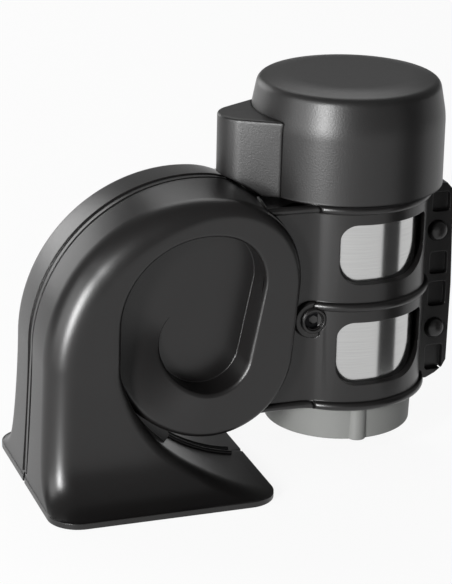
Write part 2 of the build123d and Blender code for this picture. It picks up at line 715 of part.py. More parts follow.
# ======================================================================= joint screws, clamp screw, insert
def flange_screws():
    """The two self-tapping screws that join the housings at the flange, driven from the rear."""
    screws = []
    for x, z in FLANGE_SCREWS:
        seat = SEAM_Y + FLANGE_RIB_W
        head = rod_y(FLANGE_HEAD_R, x, z, seat, seat + FLANGE_HEAD_H)
        head = fillet(head.edges().filter_by(GeomType.CIRCLE).group_by(Axis.Y)[-1], 0.6)
        for turn in (0, 90):
            slot = Plane((x, seat + FLANGE_HEAD_H, z), z_dir=(0, 1, 0)) * Rot(0, 0, turn) * Rectangle(3.0, 0.7)
            head -= extrude(slot, amount=1.0, both=True)
        shank_from = SEAM_Y - FLANGE_BOSS_W + 1.8
        screws.append(head + rod_y(FLANGE_SCREW_R, x, z, shank_from, seat + 0.2))
    return Compound(screws)


def clamp_screw():
    """Set screw with a hexagon socket and a flat-nosed cone that bears on the motor can."""
    tip_x = CLAMP_X + CLAMP_TIP_R
    tip_y = -sqrt(CAN_R ** 2 - tip_x ** 2)
    cone_y = -sqrt(CAN_R ** 2 - (CLAMP_X + CLAMP_SCREW_R) ** 2) - 0.2
    body = rod_y(CLAMP_SCREW_R, CLAMP_X, CLAMP_Z, CLAMP_SCREW_FACE_Y, cone_y)
    wide = Plane((CLAMP_X, cone_y, CLAMP_Z), z_dir=(0, 1, 0)) * Circle(CLAMP_SCREW_R)
    flat = Plane((CLAMP_X, tip_y, CLAMP_Z), z_dir=(0, 1, 0)) * Circle(CLAMP_TIP_R)
    body += loft([wide, flat])
    hexagon = RegularPolygon(CLAMP_HEX / 2, 6, major_radius=False)
    key = Plane((CLAMP_X, CLAMP_SCREW_FACE_Y, CLAMP_Z), z_dir=(0, 1, 0)) * hexagon
    return body - extrude(key, amount=CLAMP_HEX_DEPTH)


def fixing_insert():
    """Threaded insert with a waist, moulded into the rear boss."""
    low = FIX_Y - INSERT_LENGTH
    body = rod_y(INSERT_R, FIX_X, FIX_Z, low, FIX_Y)
    return body - rod_y(INSERT_HOLE_R, FIX_X, FIX_Z, low, FIX_Y)


# ======================================================================= motor
def motor_can():
    """Drawn steel can, closed at the top round the upper bush."""
    can = tube(CAN_R, CAN_R - CAN_WALL, CAN_LOW, CAN_HIGH - CAN_WALL)
    can += tube(CAN_R, BUSH_R, CAN_HIGH - CAN_WALL, CAN_HIGH)
    cup = tube(BUSH_R + CAN_WALL, BUSH_R, CAN_HIGH - BUSH_LENGTH, CAN_HIGH - CAN_WALL)
    return can + cup


def bush(low):
    """Plain bearing for the shaft."""
    return tube(BUSH_R, SHAFT_R + RUN_GAP, low, low + BUSH_LENGTH)


def magnet(side):
    """Arc magnet against the can's wall."""
    ring = Circle(CAN_R - CAN_WALL) - Circle(MAGNET_IN_R)
    reach = 2 * CAN_R
    half = radians(MAGNET_SPAN / 2)
    corners = [(0, 0), (side * reach * cos(half), reach * sin(half)), (side * reach, 0)]
    corners.append((side * reach * cos(half), -reach * sin(half)))
    wedge = make_face(Polyline(*corners, close=True))
    return extrude(Pos(0, 0, MAGNET_LOW) * (ring & wedge), amount=MAGNET_HIGH - MAGNET_LOW)


def slot_places():
    """The middles of the slots round the laminations."""
    return PolarLocations(SLOT_AT_R, SLOT_COUNT)


def laminations():
    """Slotted stack of the armature."""
    face = Circle(STACK_R) - Circle(SHAFT_R)
    gap = Rectangle(STACK_R, SLOT_GAP, align=(Align.MIN, Align.CENTER))
    face -= [place * Circle(SLOT_R) for place in slot_places()]
    face -= [place * gap for place in slot_places()]
    return extrude(Pos(0, 0, STACK_LOW) * face, amount=STACK_HIGH - STACK_LOW)


def windings():
    """Copper coils: a bundle in each slot and a rounded head at each end of the stack."""
    bundle = [place * Circle(SLOT_R) for place in slot_places()]
    coils = extrude(Pos(0, 0, STACK_LOW) * Sketch(bundle), amount=STACK_HIGH - STACK_LOW)
    heads = []
    for low, outer_edge in ((STACK_LOW - COIL_HEAD, 0), (STACK_HIGH, -1)):
        head = tube(COIL_HEAD_R, COIL_HEAD_IN_R, low, low + COIL_HEAD)
        rims = head.edges().filter_by(GeomType.CIRCLE).group_by(Axis.Z)[outer_edge]
        heads.append(fillet(rims.sort_by(SortBy.LENGTH)[-1:], 2.0))
    return coils + heads


def commutator():
    """Copper segments parted by slits."""
    body = tube(COMM_R, SHAFT_R, COMM_LOW, COMM_HIGH)
    slit = Pos(COMM_R, 0, COMM_LOW) * Box(1.6, COMM_SLIT, COMM_HIGH - COMM_LOW - 1.5,
                                          align=(Align.CENTER, Align.CENTER, Align.MIN))
    return body - [Rot(0, 0, 360 / SLOT_COUNT * i + 36) * slit for i in range(SLOT_COUNT)]


# ======================================================================= end cap, brushes and terminals
def end_cap():
    """Moulded cap that closes the motor and holds the lower bush, brushes and terminals."""
    foot = Pos(0, 0, END_LOW) * Circle(END_LOW_R)
    shoulder = Pos(0, 0, CAN_LOW) * Circle(CAN_R)
    cap = loft([foot, shoulder])
    cap += tube(CAN_R - CAN_WALL, 0, CAN_LOW, END_SPIGOT_HIGH)
    turn = radians(END_RIB_ANGLE)
    rib_at = END_LOW_R - 1.2
    rib = tube(END_RIB_R, 0, END_LOW, CAN_LOW - 0.3, rib_at * cos(turn), rib_at * sin(turn))
    cap += rib
    cap -= tube(END_CAVITY_R, 0, END_FLOOR, END_SPIGOT_HIGH)
    cap -= tube(PLATE_R, 0, PLATE_Z[0], END_SPIGOT_HIGH)
    cap += tube(BUSH_R + 1.8, 0, END_LOW, END_FLOOR + BUSH_LENGTH)
    cap += box(-POCKET_X - POCKET_WALL, POCKET_X + POCKET_WALL, POCKET_Y[0] - POCKET_WALL,
               POCKET_Y[1] + POCKET_WALL, END_LOW, POCKET_TOP + POCKET_WALL) & tube(END_LOW_R, 0, 0, 50)
    cap -= tube(BUSH_R, 0, END_FLOOR, PLATE_Z[0])
    cap -= box(-POCKET_X, POCKET_X, *POCKET_Y, END_LOW - 1, POCKET_TOP)
    for side in (-1, 1):
        cap -= tab_stock(side * TAB_X, END_LOW, PLATE_Z[0])
    return cap.solids().sort_by(SortBy.VOLUME)[-1]


def box(left, right, near, far, low, high):
    """A block between three pairs of planes."""
    size = (right - left, far - near, high - low)
    return Pos((left + right) / 2, (near + far) / 2, (low + high) / 2) * Box(*size)


def tab_stock(x, low, high):
    """Straight length of the terminal strip."""
    return box(x - TAB_WIDTH / 2, x + TAB_WIDTH / 2, TAB_Y - TAB_T / 2, TAB_Y + TAB_T / 2, low, high)


def terminal(side):
    """Spade terminal that goes up through the end cap to the brush plate."""
    x = side * TAB_X
    tab = tab_stock(x, TAB_LOW, PLATE_Z[1] + 1.2)
    lower = tab.edges().filter_by(Axis.Y).group_by(Axis.Z)[0]
    tab = chamfer(lower, 1.0)
    return tab - rod_y(0.9, x, TAB_LOW + 3.2, TAB_Y - 2, TAB_Y + 2)


def brush_plate():
    """Insulating plate with a guide for each brush."""
    plate = tube(PLATE_R, COMM_R + 1.2, *PLATE_Z)
    for side in (-1, 1):
        plate -= tab_stock(side * TAB_X, *PLATE_Z)
        inner = side * (COMM_R + 1.5)
        outer = side * (COMM_R + BRUSH_LENGTH - 0.3)
        left, right = sorted((inner, outer))
        half = BRUSH_W / 2 + BRUSH_GAP
        guide = box(left, right, -half - GUIDE_T, half + GUIDE_T, PLATE_Z[1], BRUSH_HIGH + GUIDE_T)
        guide -= box(left, right, -half, half, BRUSH_LOW - BRUSH_GAP, BRUSH_HIGH + BRUSH_GAP)
        plate += guide
        post_x = side * SPRING_POST_X
        plate += tube(SPRING_POST_R, 0, PLATE_Z[1], BRUSH_HIGH - 0.5, post_x, SPRING_POST_Y)
    return plate


def brush(side):
    """Carbon block that bears on the commutator, hollowed to its radius."""
    tip = side * COMM_R * 0.8
    back = side * (COMM_R + RUN_GAP + BRUSH_LENGTH)
    left, right = sorted((tip, back))
    block = box(left, right, -BRUSH_W / 2, BRUSH_W / 2, BRUSH_LOW - BRUSH_GAP, BRUSH_HIGH)
    return block - tube(COMM_R + RUN_GAP, 0, BRUSH_LOW - 1, BRUSH_HIGH + 1)


def brush_spring(side):
    """Flat spring that is wound half round its post and presses on the brush's back."""
    back = COMM_R + RUN_GAP + BRUSH_LENGTH
    low = BRUSH_LOW + 0.5
    high = BRUSH_HIGH - 0.8
    eye = Pos(SPRING_POST_X, SPRING_POST_Y) * (Circle(SPRING_POST_R + SPRING_T) - Circle(SPRING_POST_R))
    arm = Pos(back + SPRING_T / 2, (SPRING_POST_Y - BRUSH_W / 2 + 1) / 2)
    face = eye + arm * Rectangle(SPRING_T, SPRING_POST_Y + BRUSH_W / 2 - 1)
    reach = Pos((back + SPRING_POST_X) / 2, SPRING_POST_Y + SPRING_POST_R + SPRING_T / 2)
    face += reach * Rectangle(SPRING_POST_X - back, SPRING_T)
    face += Pos(back + SPRING_T / 2, SPRING_POST_Y + 0.5) * Rectangle(SPRING_T, 2 * SPRING_POST_R + 0.5)
    strip = extrude(Pos(0, 0, low) * face, amount=high - low)
    return strip if side > 0 else mirror(strip, Plane.YZ)


# ======================================================================= vane pump
def pump_base():
    """Lower side plate, seated on the can, with an inlet port and a groove for the cap's seal."""
    base = tube(PUMP_BASE_R, SHAFT_R + 0.3, CAP_LOW, PUMP_BASE_HIGH)
    base -= tube(FILTER_R[1], FILTER_R[0], CAP_LOW, CAP_LOW + FILTER_T)
    base -= tube(PUMP_BASE_R + 1, CAP_SEAL_IN_R, *CAP_SEAL_Z)
    base -= port(140, 220, CAP_LOW, PUMP_BASE_HIGH)
    return base - pump_screw_holes(CAP_LOW + FILTER_T, PUMP_BASE_HIGH)


def port(start, end, low, high):
    """Kidney-shaped opening through a side plate."""
    middle = radians((start + end) / 2)
    wedge = Polyline((0, 0), (30 * cos(radians(start)), 30 * sin(radians(start))),
                     (40 * cos(middle), 40 * sin(middle)),
                     (30 * cos(radians(end)), 30 * sin(radians(end))), close=True)
    face = (Circle(12.5) - Circle(9.0)) & make_face(wedge)
    return extrude(Pos(0, 0, low) * face, amount=high - low)


def pump_screw_holes(low, high):
    """The three screws' cores, which their holes fit."""
    places = PolarLocations(PUMP_SCREW_AT_R, 3, start_angle=90)
    return [place * tube(PUMP_SCREW_R, 0, max(low, PUMP_SCREW_LOW), high) for place in places]


def pump_ring():
    """Ring whose bore lies off the shaft's axis."""
    ring = tube(PUMP_RING_R, 0, PUMP_BASE_HIGH, PUMP_RING_HIGH)
    ring -= tube(PUMP_BORE_R, 0, PUMP_BASE_HIGH, PUMP_RING_HIGH, PUMP_OFFSET, 0)
    return ring - pump_screw_holes(PUMP_BASE_HIGH, PUMP_RING_HIGH)


def pump_cover():
    """Upper side plate with the outlet port."""
    cover = tube(PUMP_RING_R, SHAFT_R + 0.3, PUMP_RING_HIGH, PUMP_COVER_HIGH)
    cover -= port(-40, 40, PUMP_RING_HIGH, PUMP_COVER_HIGH)
    return cover - pump_screw_holes(PUMP_RING_HIGH, PUMP_COVER_HIGH)


def pump_screws():
    """Three screws that hold the pump together."""
    screws = []
    for place in PolarLocations(PUMP_SCREW_AT_R, 3, start_angle=90):
        screw = tube(PUMP_SCREW_R, 0, PUMP_SCREW_LOW, PUMP_COVER_HIGH)
        screw += tube(PUMP_SCREW_HEAD_R, 0, PUMP_COVER_HIGH, PUMP_COVER_HIGH + PUMP_SCREW_HEAD_H)
        screw -= Pos(0, 0, PUMP_COVER_HIGH + PUMP_SCREW_HEAD_H) * Box(2.2, 0.6, 1.6)
        screw -= Pos(0, 0, PUMP_COVER_HIGH + PUMP_SCREW_HEAD_H) * Box(0.6, 2.2, 1.6)
        screws.append(place * screw)
    return Compound(screws)


def pump_rotor():
    """Rotor on the shaft with four radial slots."""
    low = PUMP_BASE_HIGH + ROTOR_GAP
    high = PUMP_RING_HIGH - ROTOR_GAP
    rotor = tube(ROTOR_R, SHAFT_R, low, high)
    slot = box(VANE_SLOT_IN_R, ROTOR_R + 1, -VANE_SLOT_T / 2, VANE_SLOT_T / 2, low, high)
    return rotor - [Rot(0, 0, 90 * i + 45) * slot for i in range(4)]


def vane(index):
    """Sliding vane, drawn in against the foot of its slot."""
    low = PUMP_BASE_HIGH + ROTOR_GAP
    high = PUMP_RING_HIGH - ROTOR_GAP
    inner = VANE_SLOT_IN_R
    blade = box(inner, ROTOR_R - 0.1, -VANE_SLOT_T / 2, VANE_SLOT_T / 2 - VANE_PLAY, low, high)
    return Rot(0, 0, 90 * index + 45) * blade


def intake_filter():
    """Felt ring in the underside of the pump's base."""
    return tube(FILTER_R[1], FILTER_R[0], CAP_LOW, CAP_LOW + FILTER_T)


# ======================================================================= cap and seals
def revolved(profile):
    """A turned body about the compressor's axis from points (radius, height)."""
    points = [Vector(r, 0, z) for r, z in profile]
    return revolve(Face(Wire.make_polygon(points, close=True)), Axis.Z)


def outlet_outside():
    """Wedge with a round nose that carries the outlet down to the trumpet."""
    turn = radians(OUTLET_FACE_TURN)
    normal = Vector(-sin(turn), -cos(turn), 0)
    along = Vector(cos(turn), -sin(turn), 0)
    nose = Vector(INLET_X, 0, 0)
    touch = nose + normal * OUTLET_NOSE_R
    far = touch + along * OUTLET_FACE_LENGTH
    tip = nose + Vector(-OUTLET_NOSE_R, 0, 0)
    nose_arc = Edge.make_three_point_arc(touch, tip, Vector(touch.X, -touch.Y, 0))
    far_line = Edge.make_line(Vector(far.X, -far.Y, 0), far)
    face = closed([nose_arc, far_line])
    block = extrude(Pos(0, 0, CAP_LOW) * face, amount=OUTLET_TOP - CAP_LOW, dir=(0, 0, 1))
    tops = block.edges().group_by(Axis.Z)[-1]
    return fillet(tops, 0.8)


def compressor_cap():
    """Moulded cap over the pump, with the outlet that plugs into the trumpet."""
    outer = [(0, CAP_LOW), (CAP_SIDE_R, CAP_LOW), (CAP_SHOULDER_R, CAP_SHOULDER_Z)]
    outer += [(CAP_BEVEL_R, CAP_BEVEL_Z), (CAP_TOP_R, CAP_TOP), (0, CAP_TOP)]
    inner_r = CAP_SIDE_R - CAP_WALL
    inner = [(0, CAP_LOW - 1), (inner_r, CAP_LOW - 1), (inner_r, CAP_SHOULDER_Z)]
    inner += [(CAP_BEVEL_R - CAP_WALL, CAP_BEVEL_Z - CAP_WALL), (0, CAP_TOP - CAP_WALL)]
    block = outlet_outside() - [prism(f, -20, 20) for f in trumpet_outline(-SADDLE_GAP)]
    cap = revolved(outer) + block
    cap += tube(SPIGOT_R, 0, SPIGOT_LOW, CAP_LOW + 2, INLET_X, SEAM_Y)
    cap -= revolved(inner)
    for place in PolarLocations(CAP_POST_AT_R, 3, start_angle=60):
        cap += place * tube(CAP_POST_R, 0, PUMP_COVER_HIGH, CAP_TOP - CAP_WALL)
    cap -= tube(SPIGOT_BORE_R, 0, SPIGOT_LOW, CAP_LOW + 6, INLET_X, SEAM_Y)
    cap -= tube(OUTLET_BORE_R, 0, CAP_LOW + 6, OUTLET_TOP - 5, INLET_X, SEAM_Y)
    cross = Plane((INLET_X, SEAM_Y, OUTLET_TOP - 8), z_dir=(1, 0, 0)) * Circle(OUTLET_BORE_R)
    cap -= extrude(cross, amount=12)
    return cap.solids().sort_by(SortBy.VOLUME)[-1]


def cap_seal():
    """Square-section ring between the cap and the pump's base."""
    return tube(PUMP_BASE_R, CAP_SEAL_IN_R, *CAP_SEAL_Z)


def inlet_seal():
    """Ring between the cap's spigot and its socket in the trumpet."""
    return tube(SOCKET_R, SPIGOT_R, SOCKET_LOW + 1.2, SOCKET_LOW + 3.0, INLET_X, SEAM_Y)


# ======================================================================= all pieces
def shaft():
    """Motor shaft, which also carries the pump's rotor."""
    return tube(SHAFT_R, 0, SHAFT_LOW, SHAFT_HIGH)


def pieces():
    """Every piece by its name, drawn from the compressor's axis."""
    clamp = clamp_body()
    body = driver_body() - [nozzle_outlet(True), nozzle_outlet(False)]
    parts = {
        "front_housing": front_housing(clamp),
        "rear_housing": rear_housing(clamp),
        "divider_plate": divider_plate(),
        "driver_body": body,
        "front_diaphragm": diaphragm(True),
        "rear_diaphragm": diaphragm(False),
        "front_clamp_ring": clamp_ring(True),
        "rear_clamp_ring": clamp_ring(False),
        "flange_screws": flange_screws(),
        "clamp_screw": clamp_screw(),
        "fixing_insert": fixing_insert(),
        "compressor_cap": compressor_cap(),
        "cap_seal": cap_seal(),
        "inlet_seal": inlet_seal(),
        "pump_base": pump_base(),
        "pump_ring": pump_ring(),
        "pump_cover": pump_cover(),
        "pump_rotor": pump_rotor(),
        "pump_screws": pump_screws(),
        "intake_filter": intake_filter(),
        "motor_can": motor_can(),
        "upper_bush": bush(CAN_HIGH - BUSH_LENGTH),
        "lower_bush": bush(END_FLOOR),
        "magnet_left": magnet(-1),
        "magnet_right": magnet(1),
        "shaft": shaft(),
        "laminations": laminations(),
        "windings": windings(),
        "commutator": commutator(),
        "end_cap": end_cap(),
        "brush_plate": brush_plate(),
        "brush_left": brush(-1),
        "brush_right": brush(1),
        "brush_spring_left": brush_spring(-1),
        "brush_spring_right": brush_spring(1),
        "terminal_plus": terminal(1),
        "terminal_minus": terminal(-1),
    }
    for i in range(4):
        parts[f"vane_{i + 1}"] = vane(i)
    return parts


def save(parts):
    """Write each piece to its own file, shifted to the mouth of the fixing thread."""
    os.makedirs("parts", exist_ok=True)
    shift = Pos(-FIX_X, -FIX_Y, -FIX_Z)
    for name, body in parts.items():
        export_step(shift * body, f"parts/{name}.step")


if __name__ == "__main__":
    save(pieces())
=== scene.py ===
"""Looks of the compact car air horn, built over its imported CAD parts.

Lengths are in metres. +Z is up along the motor's axis and +Y is the side bolted to the vehicle.
The origin is the mouth of the fixing thread, 24 mm left of the motor's axis and 52 mm above the mouth's rim.
"""

from math import cos, radians, sin

import bpy
import numpy as np
from mathutils import Matrix, Vector
from mathutils.bvhtree import BVHTree


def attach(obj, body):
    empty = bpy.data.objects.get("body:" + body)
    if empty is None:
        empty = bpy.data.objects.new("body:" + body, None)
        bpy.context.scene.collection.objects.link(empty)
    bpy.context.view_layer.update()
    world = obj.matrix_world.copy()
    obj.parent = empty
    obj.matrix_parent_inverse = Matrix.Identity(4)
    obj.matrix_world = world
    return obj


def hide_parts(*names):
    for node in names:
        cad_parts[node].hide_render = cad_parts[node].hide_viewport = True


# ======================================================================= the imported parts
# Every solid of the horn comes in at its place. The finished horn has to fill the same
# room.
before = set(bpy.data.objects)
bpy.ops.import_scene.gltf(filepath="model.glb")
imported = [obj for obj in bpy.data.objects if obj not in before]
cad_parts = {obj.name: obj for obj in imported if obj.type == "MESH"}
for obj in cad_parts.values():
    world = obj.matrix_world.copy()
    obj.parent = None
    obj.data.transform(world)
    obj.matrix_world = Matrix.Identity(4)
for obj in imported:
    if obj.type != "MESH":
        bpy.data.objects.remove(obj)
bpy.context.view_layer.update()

# ======================================================================= trumpet
# Spiral horn in two halves, front and rear, moulded in black glass-filled nylon and welded along the
# seam. Its walls lean in towards the face so that they leave the mould, and its corners are wide where
# the leg turns into the arch and narrow round the loop.
# Sizes are in millimetres: x to the right and z up from the motor's foot, and w out from the seam.
# Turns are in degrees round the spiral's eye: 0 on the right, 90 on top and 180 over the leg.
MOTOR_FOOT = np.array([24.0, -28.0, -52.0])
SEAM_Y, HALF_GAP = -2.9, 0.8

# Outline seen from the front, and the sunk panel inside it.
EYE = np.array([-48.2, 41.3])
ARCH_R, CROWN_R, LOOP_R = 47.6, 26.0, 26.7
CROWN_TURN = 84.0
PANEL = np.array([-49.5, 52.0])
PANEL_R, PANEL_CORNER_R, PANEL_END_R = 25.0, 14.0, 11.3
PANEL_TURN = 75.0

# Depths out from the seam, and the radii of the corners.
DEPTH, FLOOR_DEPTH, DRAFT = 21.1, 11.1, 2.3
WALL_SUNK, FLOOR_LAP = 0.3, 0.8
LEG_CORNER, LEG_LIP, PANEL_LIP = 8.0, 3.0, 1.4

# Leg and mouth. Towards the mouth the walls run out, the depth grows and the lip gets wider.
LEG_INNER_X, LEG_FOOT, LEG_BOW = -74.6, 1.6, 1.4
MOUTH_LEFT, MOUTH_RIGHT, RIM_STEP, RIM_INSET = -98.1, -31.2, 0.6, 0.1
MOUTH_LIP_GROWTH, MOUTH_LIP_FROM = 8.0, 0.33
FLARE_TOP, FLARE_POWER = 40.0, 1.77
FLARE_LAP, FLARE_LAP_TOP, FLARE_LAP_RUN = 0.3, 37.0, 6.0
NEAR_SHARE, NEAR_RISE, FAR_SHARE, FAR_RISE = 0.7, 2.8, 0.3, 14.0

# Ramp down to the panel's floor, and the groove along the seam. A hair keeps two rows apart.
RAMP_END_R, RAMP_TURN, RAMP_SPREAD, RAMP_CORNER, RAMP_STEP = 13.7, 135.0, 4.5, 3.0, 0.05
GROOVE, GROOVE_W, GROOVE_FOOT, GROOVE_TURN = 0.55, 2.5, 2.7, 72.0
HAIR = 0.02


def in_metres(x, y, z):
    """Points in the horn's frame, from millimetres measured from the motor's foot."""
    return (np.stack(np.broadcast_arrays(x, y, z), axis=-1) + MOTOR_FOOT) / 1000


def to_frame(x, z, w, front):
    """Points in the horn's frame from x, z and w, with w forward or backward of the seam."""
    return in_metres(x, SEAM_Y - w if front else SEAM_Y + w, z)


def surface(points, flip):
    """Points of a grid as a list, and the quads between neighbours, turned over where asked."""
    rows, columns = points.shape[:2]
    index = np.arange(rows * columns).reshape(rows, columns)
    quads = np.stack([index[:-1, :-1], index[:-1, 1:], index[1:, 1:], index[1:, :-1]], axis=-1).reshape(-1, 4)
    return points.reshape(-1, 3), quads[:, ::-1] if flip else quads


def arc_points(centre, radius, start, end):
    """Points on an arc: the centre plus the radius times cosine and sine of each turn."""
    turns = np.radians(np.linspace(start, end, 120))
    return np.stack([centre[0] + radius * np.cos(turns), centre[1] + radius * np.sin(turns)], axis=-1)


def right_tangent(upper, upper_r, lower, lower_r):
    """Turn at which a line touches two circles on the right: across their centre line, plus the
    arcsine of the radii's difference over the centres' distance."""
    step = upper - lower
    lean = np.arcsin((lower_r - upper_r) / np.hypot(*step))
    return float(np.degrees(np.arctan2(step[1], step[0]) - np.pi / 2 + lean))


def eye_turn(off_x, off_z):
    """Turn of a point round the eye, by the arctangent of its offsets, from -90 up to 270 degrees."""
    start = 90.001
    return (np.degrees(np.arctan2(off_z, off_x)) + start) % 360 - start


def seen_radius(turns, arcs):
    """Distance from the eye to an outline of arcs joined by straight lines, in each direction."""
    corners = np.concatenate([arc_points(*one) for one in arcs])
    run = np.concatenate([[0], np.cumsum(np.hypot(*np.diff(corners, axis=0).T))])
    along = np.linspace(0, run[-1], 3000)
    off_x = np.interp(along, run, corners[:, 0]) - EYE[0]
    off_z = np.interp(along, run, corners[:, 1]) - EYE[1]
    seen = eye_turn(off_x, off_z)
    order = np.argsort(seen)
    return np.interp(turns, seen[order], np.hypot(off_x, off_z)[order])


def eased(share):
    """Smooth step from 0 to 1: three times the square less twice the cube."""
    share = np.clip(share, 0, 1)
    return share ** 2 * (3 - 2 * share)


def flare_right(z):
    """Right wall of the leg at each height: a quarter of a superellipse that opens into the mouth,
    and a little further out below the flare's top, where it covers the solid's wall."""
    down = np.clip((FLARE_TOP - z) / (FLARE_TOP - LEG_FOOT), 0, 1)
    opened = 1 - (1 - down ** FLARE_POWER) ** (1 / FLARE_POWER)
    lap = FLARE_LAP * eased((FLARE_LAP_TOP - z) / FLARE_LAP_RUN)
    return LEG_INNER_X + (MOUTH_RIGHT - RIM_STEP - LEG_INNER_X) * opened + lap


def sections(*measures):
    """Rows for foot, turn, inner and outer distance, depth, draft, corner, lip, wall foot and groove,
    with one column for each section. A single number holds for every section."""
    return np.stack(np.broadcast_arrays(*measures))


def leg_sections(mouth_w):
    """Level sections up the leg. Its left wall bows out by a power of the way down, and its depth grows
    towards the mouth by a quick and a slow exponential of the height."""
    z = LEG_FOOT + (EYE[1] - LEG_FOOT) * np.linspace(0, 1, 56) ** 1.5
    left = EYE[0] - ARCH_R + (MOUTH_LEFT + RIM_INSET - EYE[0] + ARCH_R) * (1 - z / EYE[1]) ** LEG_BOW
    right = flare_right(z)
    rise = z - LEG_FOOT
    spread = NEAR_SHARE * np.exp(-rise / NEAR_RISE)
    spread += FAR_SHARE * np.exp(-rise / FAR_RISE) * (1 - (rise / rise[-1]) ** 3) ** 2
    wide = np.clip((right - left) / (MOUTH_RIGHT - MOUTH_LEFT) - MOUTH_LIP_FROM, 0, 1)
    depth = DEPTH + (mouth_w - RIM_STEP - DEPTH) * spread
    return sections(z, 180.0, EYE[0] - right, EYE[0] - left, depth, 0.0, LEG_CORNER,
                    LEG_LIP + MOUTH_LIP_GROWTH * wide, 0.0, np.where(z > GROOVE_FOOT, GROOVE, HAIR))


def round_sections(corner_turns, corner_radii):
    """Sections over arch and crown and down the loop, on rays from the eye. The outline and the panel's
    edge are arcs with tangent lines, and the lip swells over the leg by a cosine of twice the turn."""
    turns = np.linspace(180, -90, 181)[1:]
    crown = arc_points(EYE, ARCH_R - CROWN_R, CROWN_TURN, CROWN_TURN)[0]
    crown_end = right_tangent(crown, CROWN_R, EYE, LOOP_R)
    outer = seen_radius(turns, [(EYE, ARCH_R, 180, CROWN_TURN), (crown, CROWN_R, CROWN_TURN, crown_end),
                                (EYE, LOOP_R, crown_end, -90)])
    panel_left = np.array([PANEL[0] - PANEL_R, EYE[1]])
    bend = arc_points(PANEL, PANEL_R - PANEL_CORNER_R, PANEL_TURN, PANEL_TURN)[0]
    bend_end = right_tangent(bend, PANEL_CORNER_R, EYE, PANEL_END_R)
    inner = seen_radius(turns, [(panel_left, 0.0, 0, 0), (PANEL, PANEL_R, 180, PANEL_TURN),
                                (bend, PANEL_CORNER_R, PANEL_TURN, bend_end),
                                (EYE, PANEL_END_R, bend_end, -90)])
    over_leg = np.where(turns > 90, (1 + np.cos(np.radians((180 - turns) * 2))) / 2, 0)
    draft = DRAFT * np.where(turns > 90, np.sin(np.radians(180 - turns)), 1)
    return sections(EYE[1], turns, inner, outer, DEPTH, draft, np.interp(turns, corner_turns, corner_radii),
                    PANEL_LIP + (LEG_LIP - PANEL_LIP) * over_leg, FLOOR_DEPTH - WALL_SUNK,
                    np.where(turns > GROOVE_TURN, GROOVE, HAIR))


def ramp_sections(loop_corner):
    """Sections on from the loop's foot, in which the face sinks to the panel's floor by a smooth step."""
    turns = np.linspace(-90, -225, 91)[1:]
    share = eased((-90 - turns) / RAMP_TURN)
    depth = DEPTH + (FLOOR_DEPTH - RAMP_STEP - DEPTH) * share
    inner = PANEL_END_R + (RAMP_END_R - PANEL_END_R) * share
    return sections(EYE[1], turns, inner, LOOP_R + RAMP_SPREAD * share, depth, DRAFT,
                    loop_corner + (RAMP_CORNER - loop_corner) * share,
                    np.clip((depth - FLOOR_DEPTH) / 2, HAIR, PANEL_LIP), FLOOR_DEPTH - WALL_SUNK, HAIR)


def strip_sections(mouth_w, corner_turns, corner_radii):
    """All sections of the spiral strip, from the mouth up the leg and round to the ramp's end."""
    return np.concatenate([leg_sections(mouth_w), round_sections(corner_turns, corner_radii),
                           ramp_sections(corner_radii[0])], axis=1)


def trumpet_skin(front, mouth_w, corner_turns, corner_radii):
    """Spiral strip: at each section a profile climbs the outer wall past the groove, rounds the corner
    by cosine and sine of its radius, crosses the face, rounds the lip and goes down the inner wall.
    u is the distance from the eye, and the outer wall leans in by the draft's share at each depth."""
    strip = strip_sections(mouth_w, corner_turns, corner_radii)[:, :, None]
    foot_z, turn, inner, outer, depth, draft, corner, lip, wall_foot, groove = strip
    bend = np.radians(np.linspace(0, 90, 13))
    wall_u = outer - groove * np.array([1, 1, 0])
    wall_w = np.array([HALF_GAP, GROOVE_W, GROOVE_W + HAIR]) + 0 * outer
    round_u = outer - corner + corner * np.cos(bend)
    round_w = depth - corner + corner * np.sin(bend)
    lip_u = inner + lip - lip * np.sin(bend)
    lip_w = depth - lip + lip * np.cos(bend)
    out_w = np.concatenate([wall_w, round_w], axis=1)
    lean = draft * np.clip((out_w - HALF_GAP) / DEPTH, 0, 1)
    out_u = np.concatenate([wall_u, round_u], axis=1) - lean
    face_u = out_u[:, -1:] + (lip_u[:, :1] - out_u[:, -1:]) * np.array([0.25, 0.5, 0.75])
    u = np.concatenate([out_u, face_u, lip_u, inner], axis=1)
    w = np.concatenate([out_w, depth + 0 * face_u, lip_w, wall_foot], axis=1)
    x = EYE[0] + u * np.cos(np.radians(turn))
    z = foot_z + u * np.sin(np.radians(turn))
    return surface(to_frame(x, z, w, front), not front)


def panel_reach(turns):
    """Distance from the eye to the foot of the panel's and the ramp's inner wall, in each direction."""
    foot_z, turn, inner = strip_sections(0, [0], [0])[:3]
    first = np.argmax(foot_z == EYE[1])
    return np.interp(-turns, -turn[first:], inner[first:])


def panel_floor(front):
    """Sunk floor inside the spiral: rays from the eye out past the panel's edge, all at one depth."""
    turns = np.linspace(180, -180, 181)[:, None]
    reach = np.array([0, 0.5, 1.0]) * (panel_reach(turns) + FLOOR_LAP)
    x = EYE[0] + reach * np.cos(np.radians(turns))
    z = EYE[1] + reach * np.sin(np.radians(turns))
    return surface(to_frame(x, z, FLOOR_DEPTH, front), front)


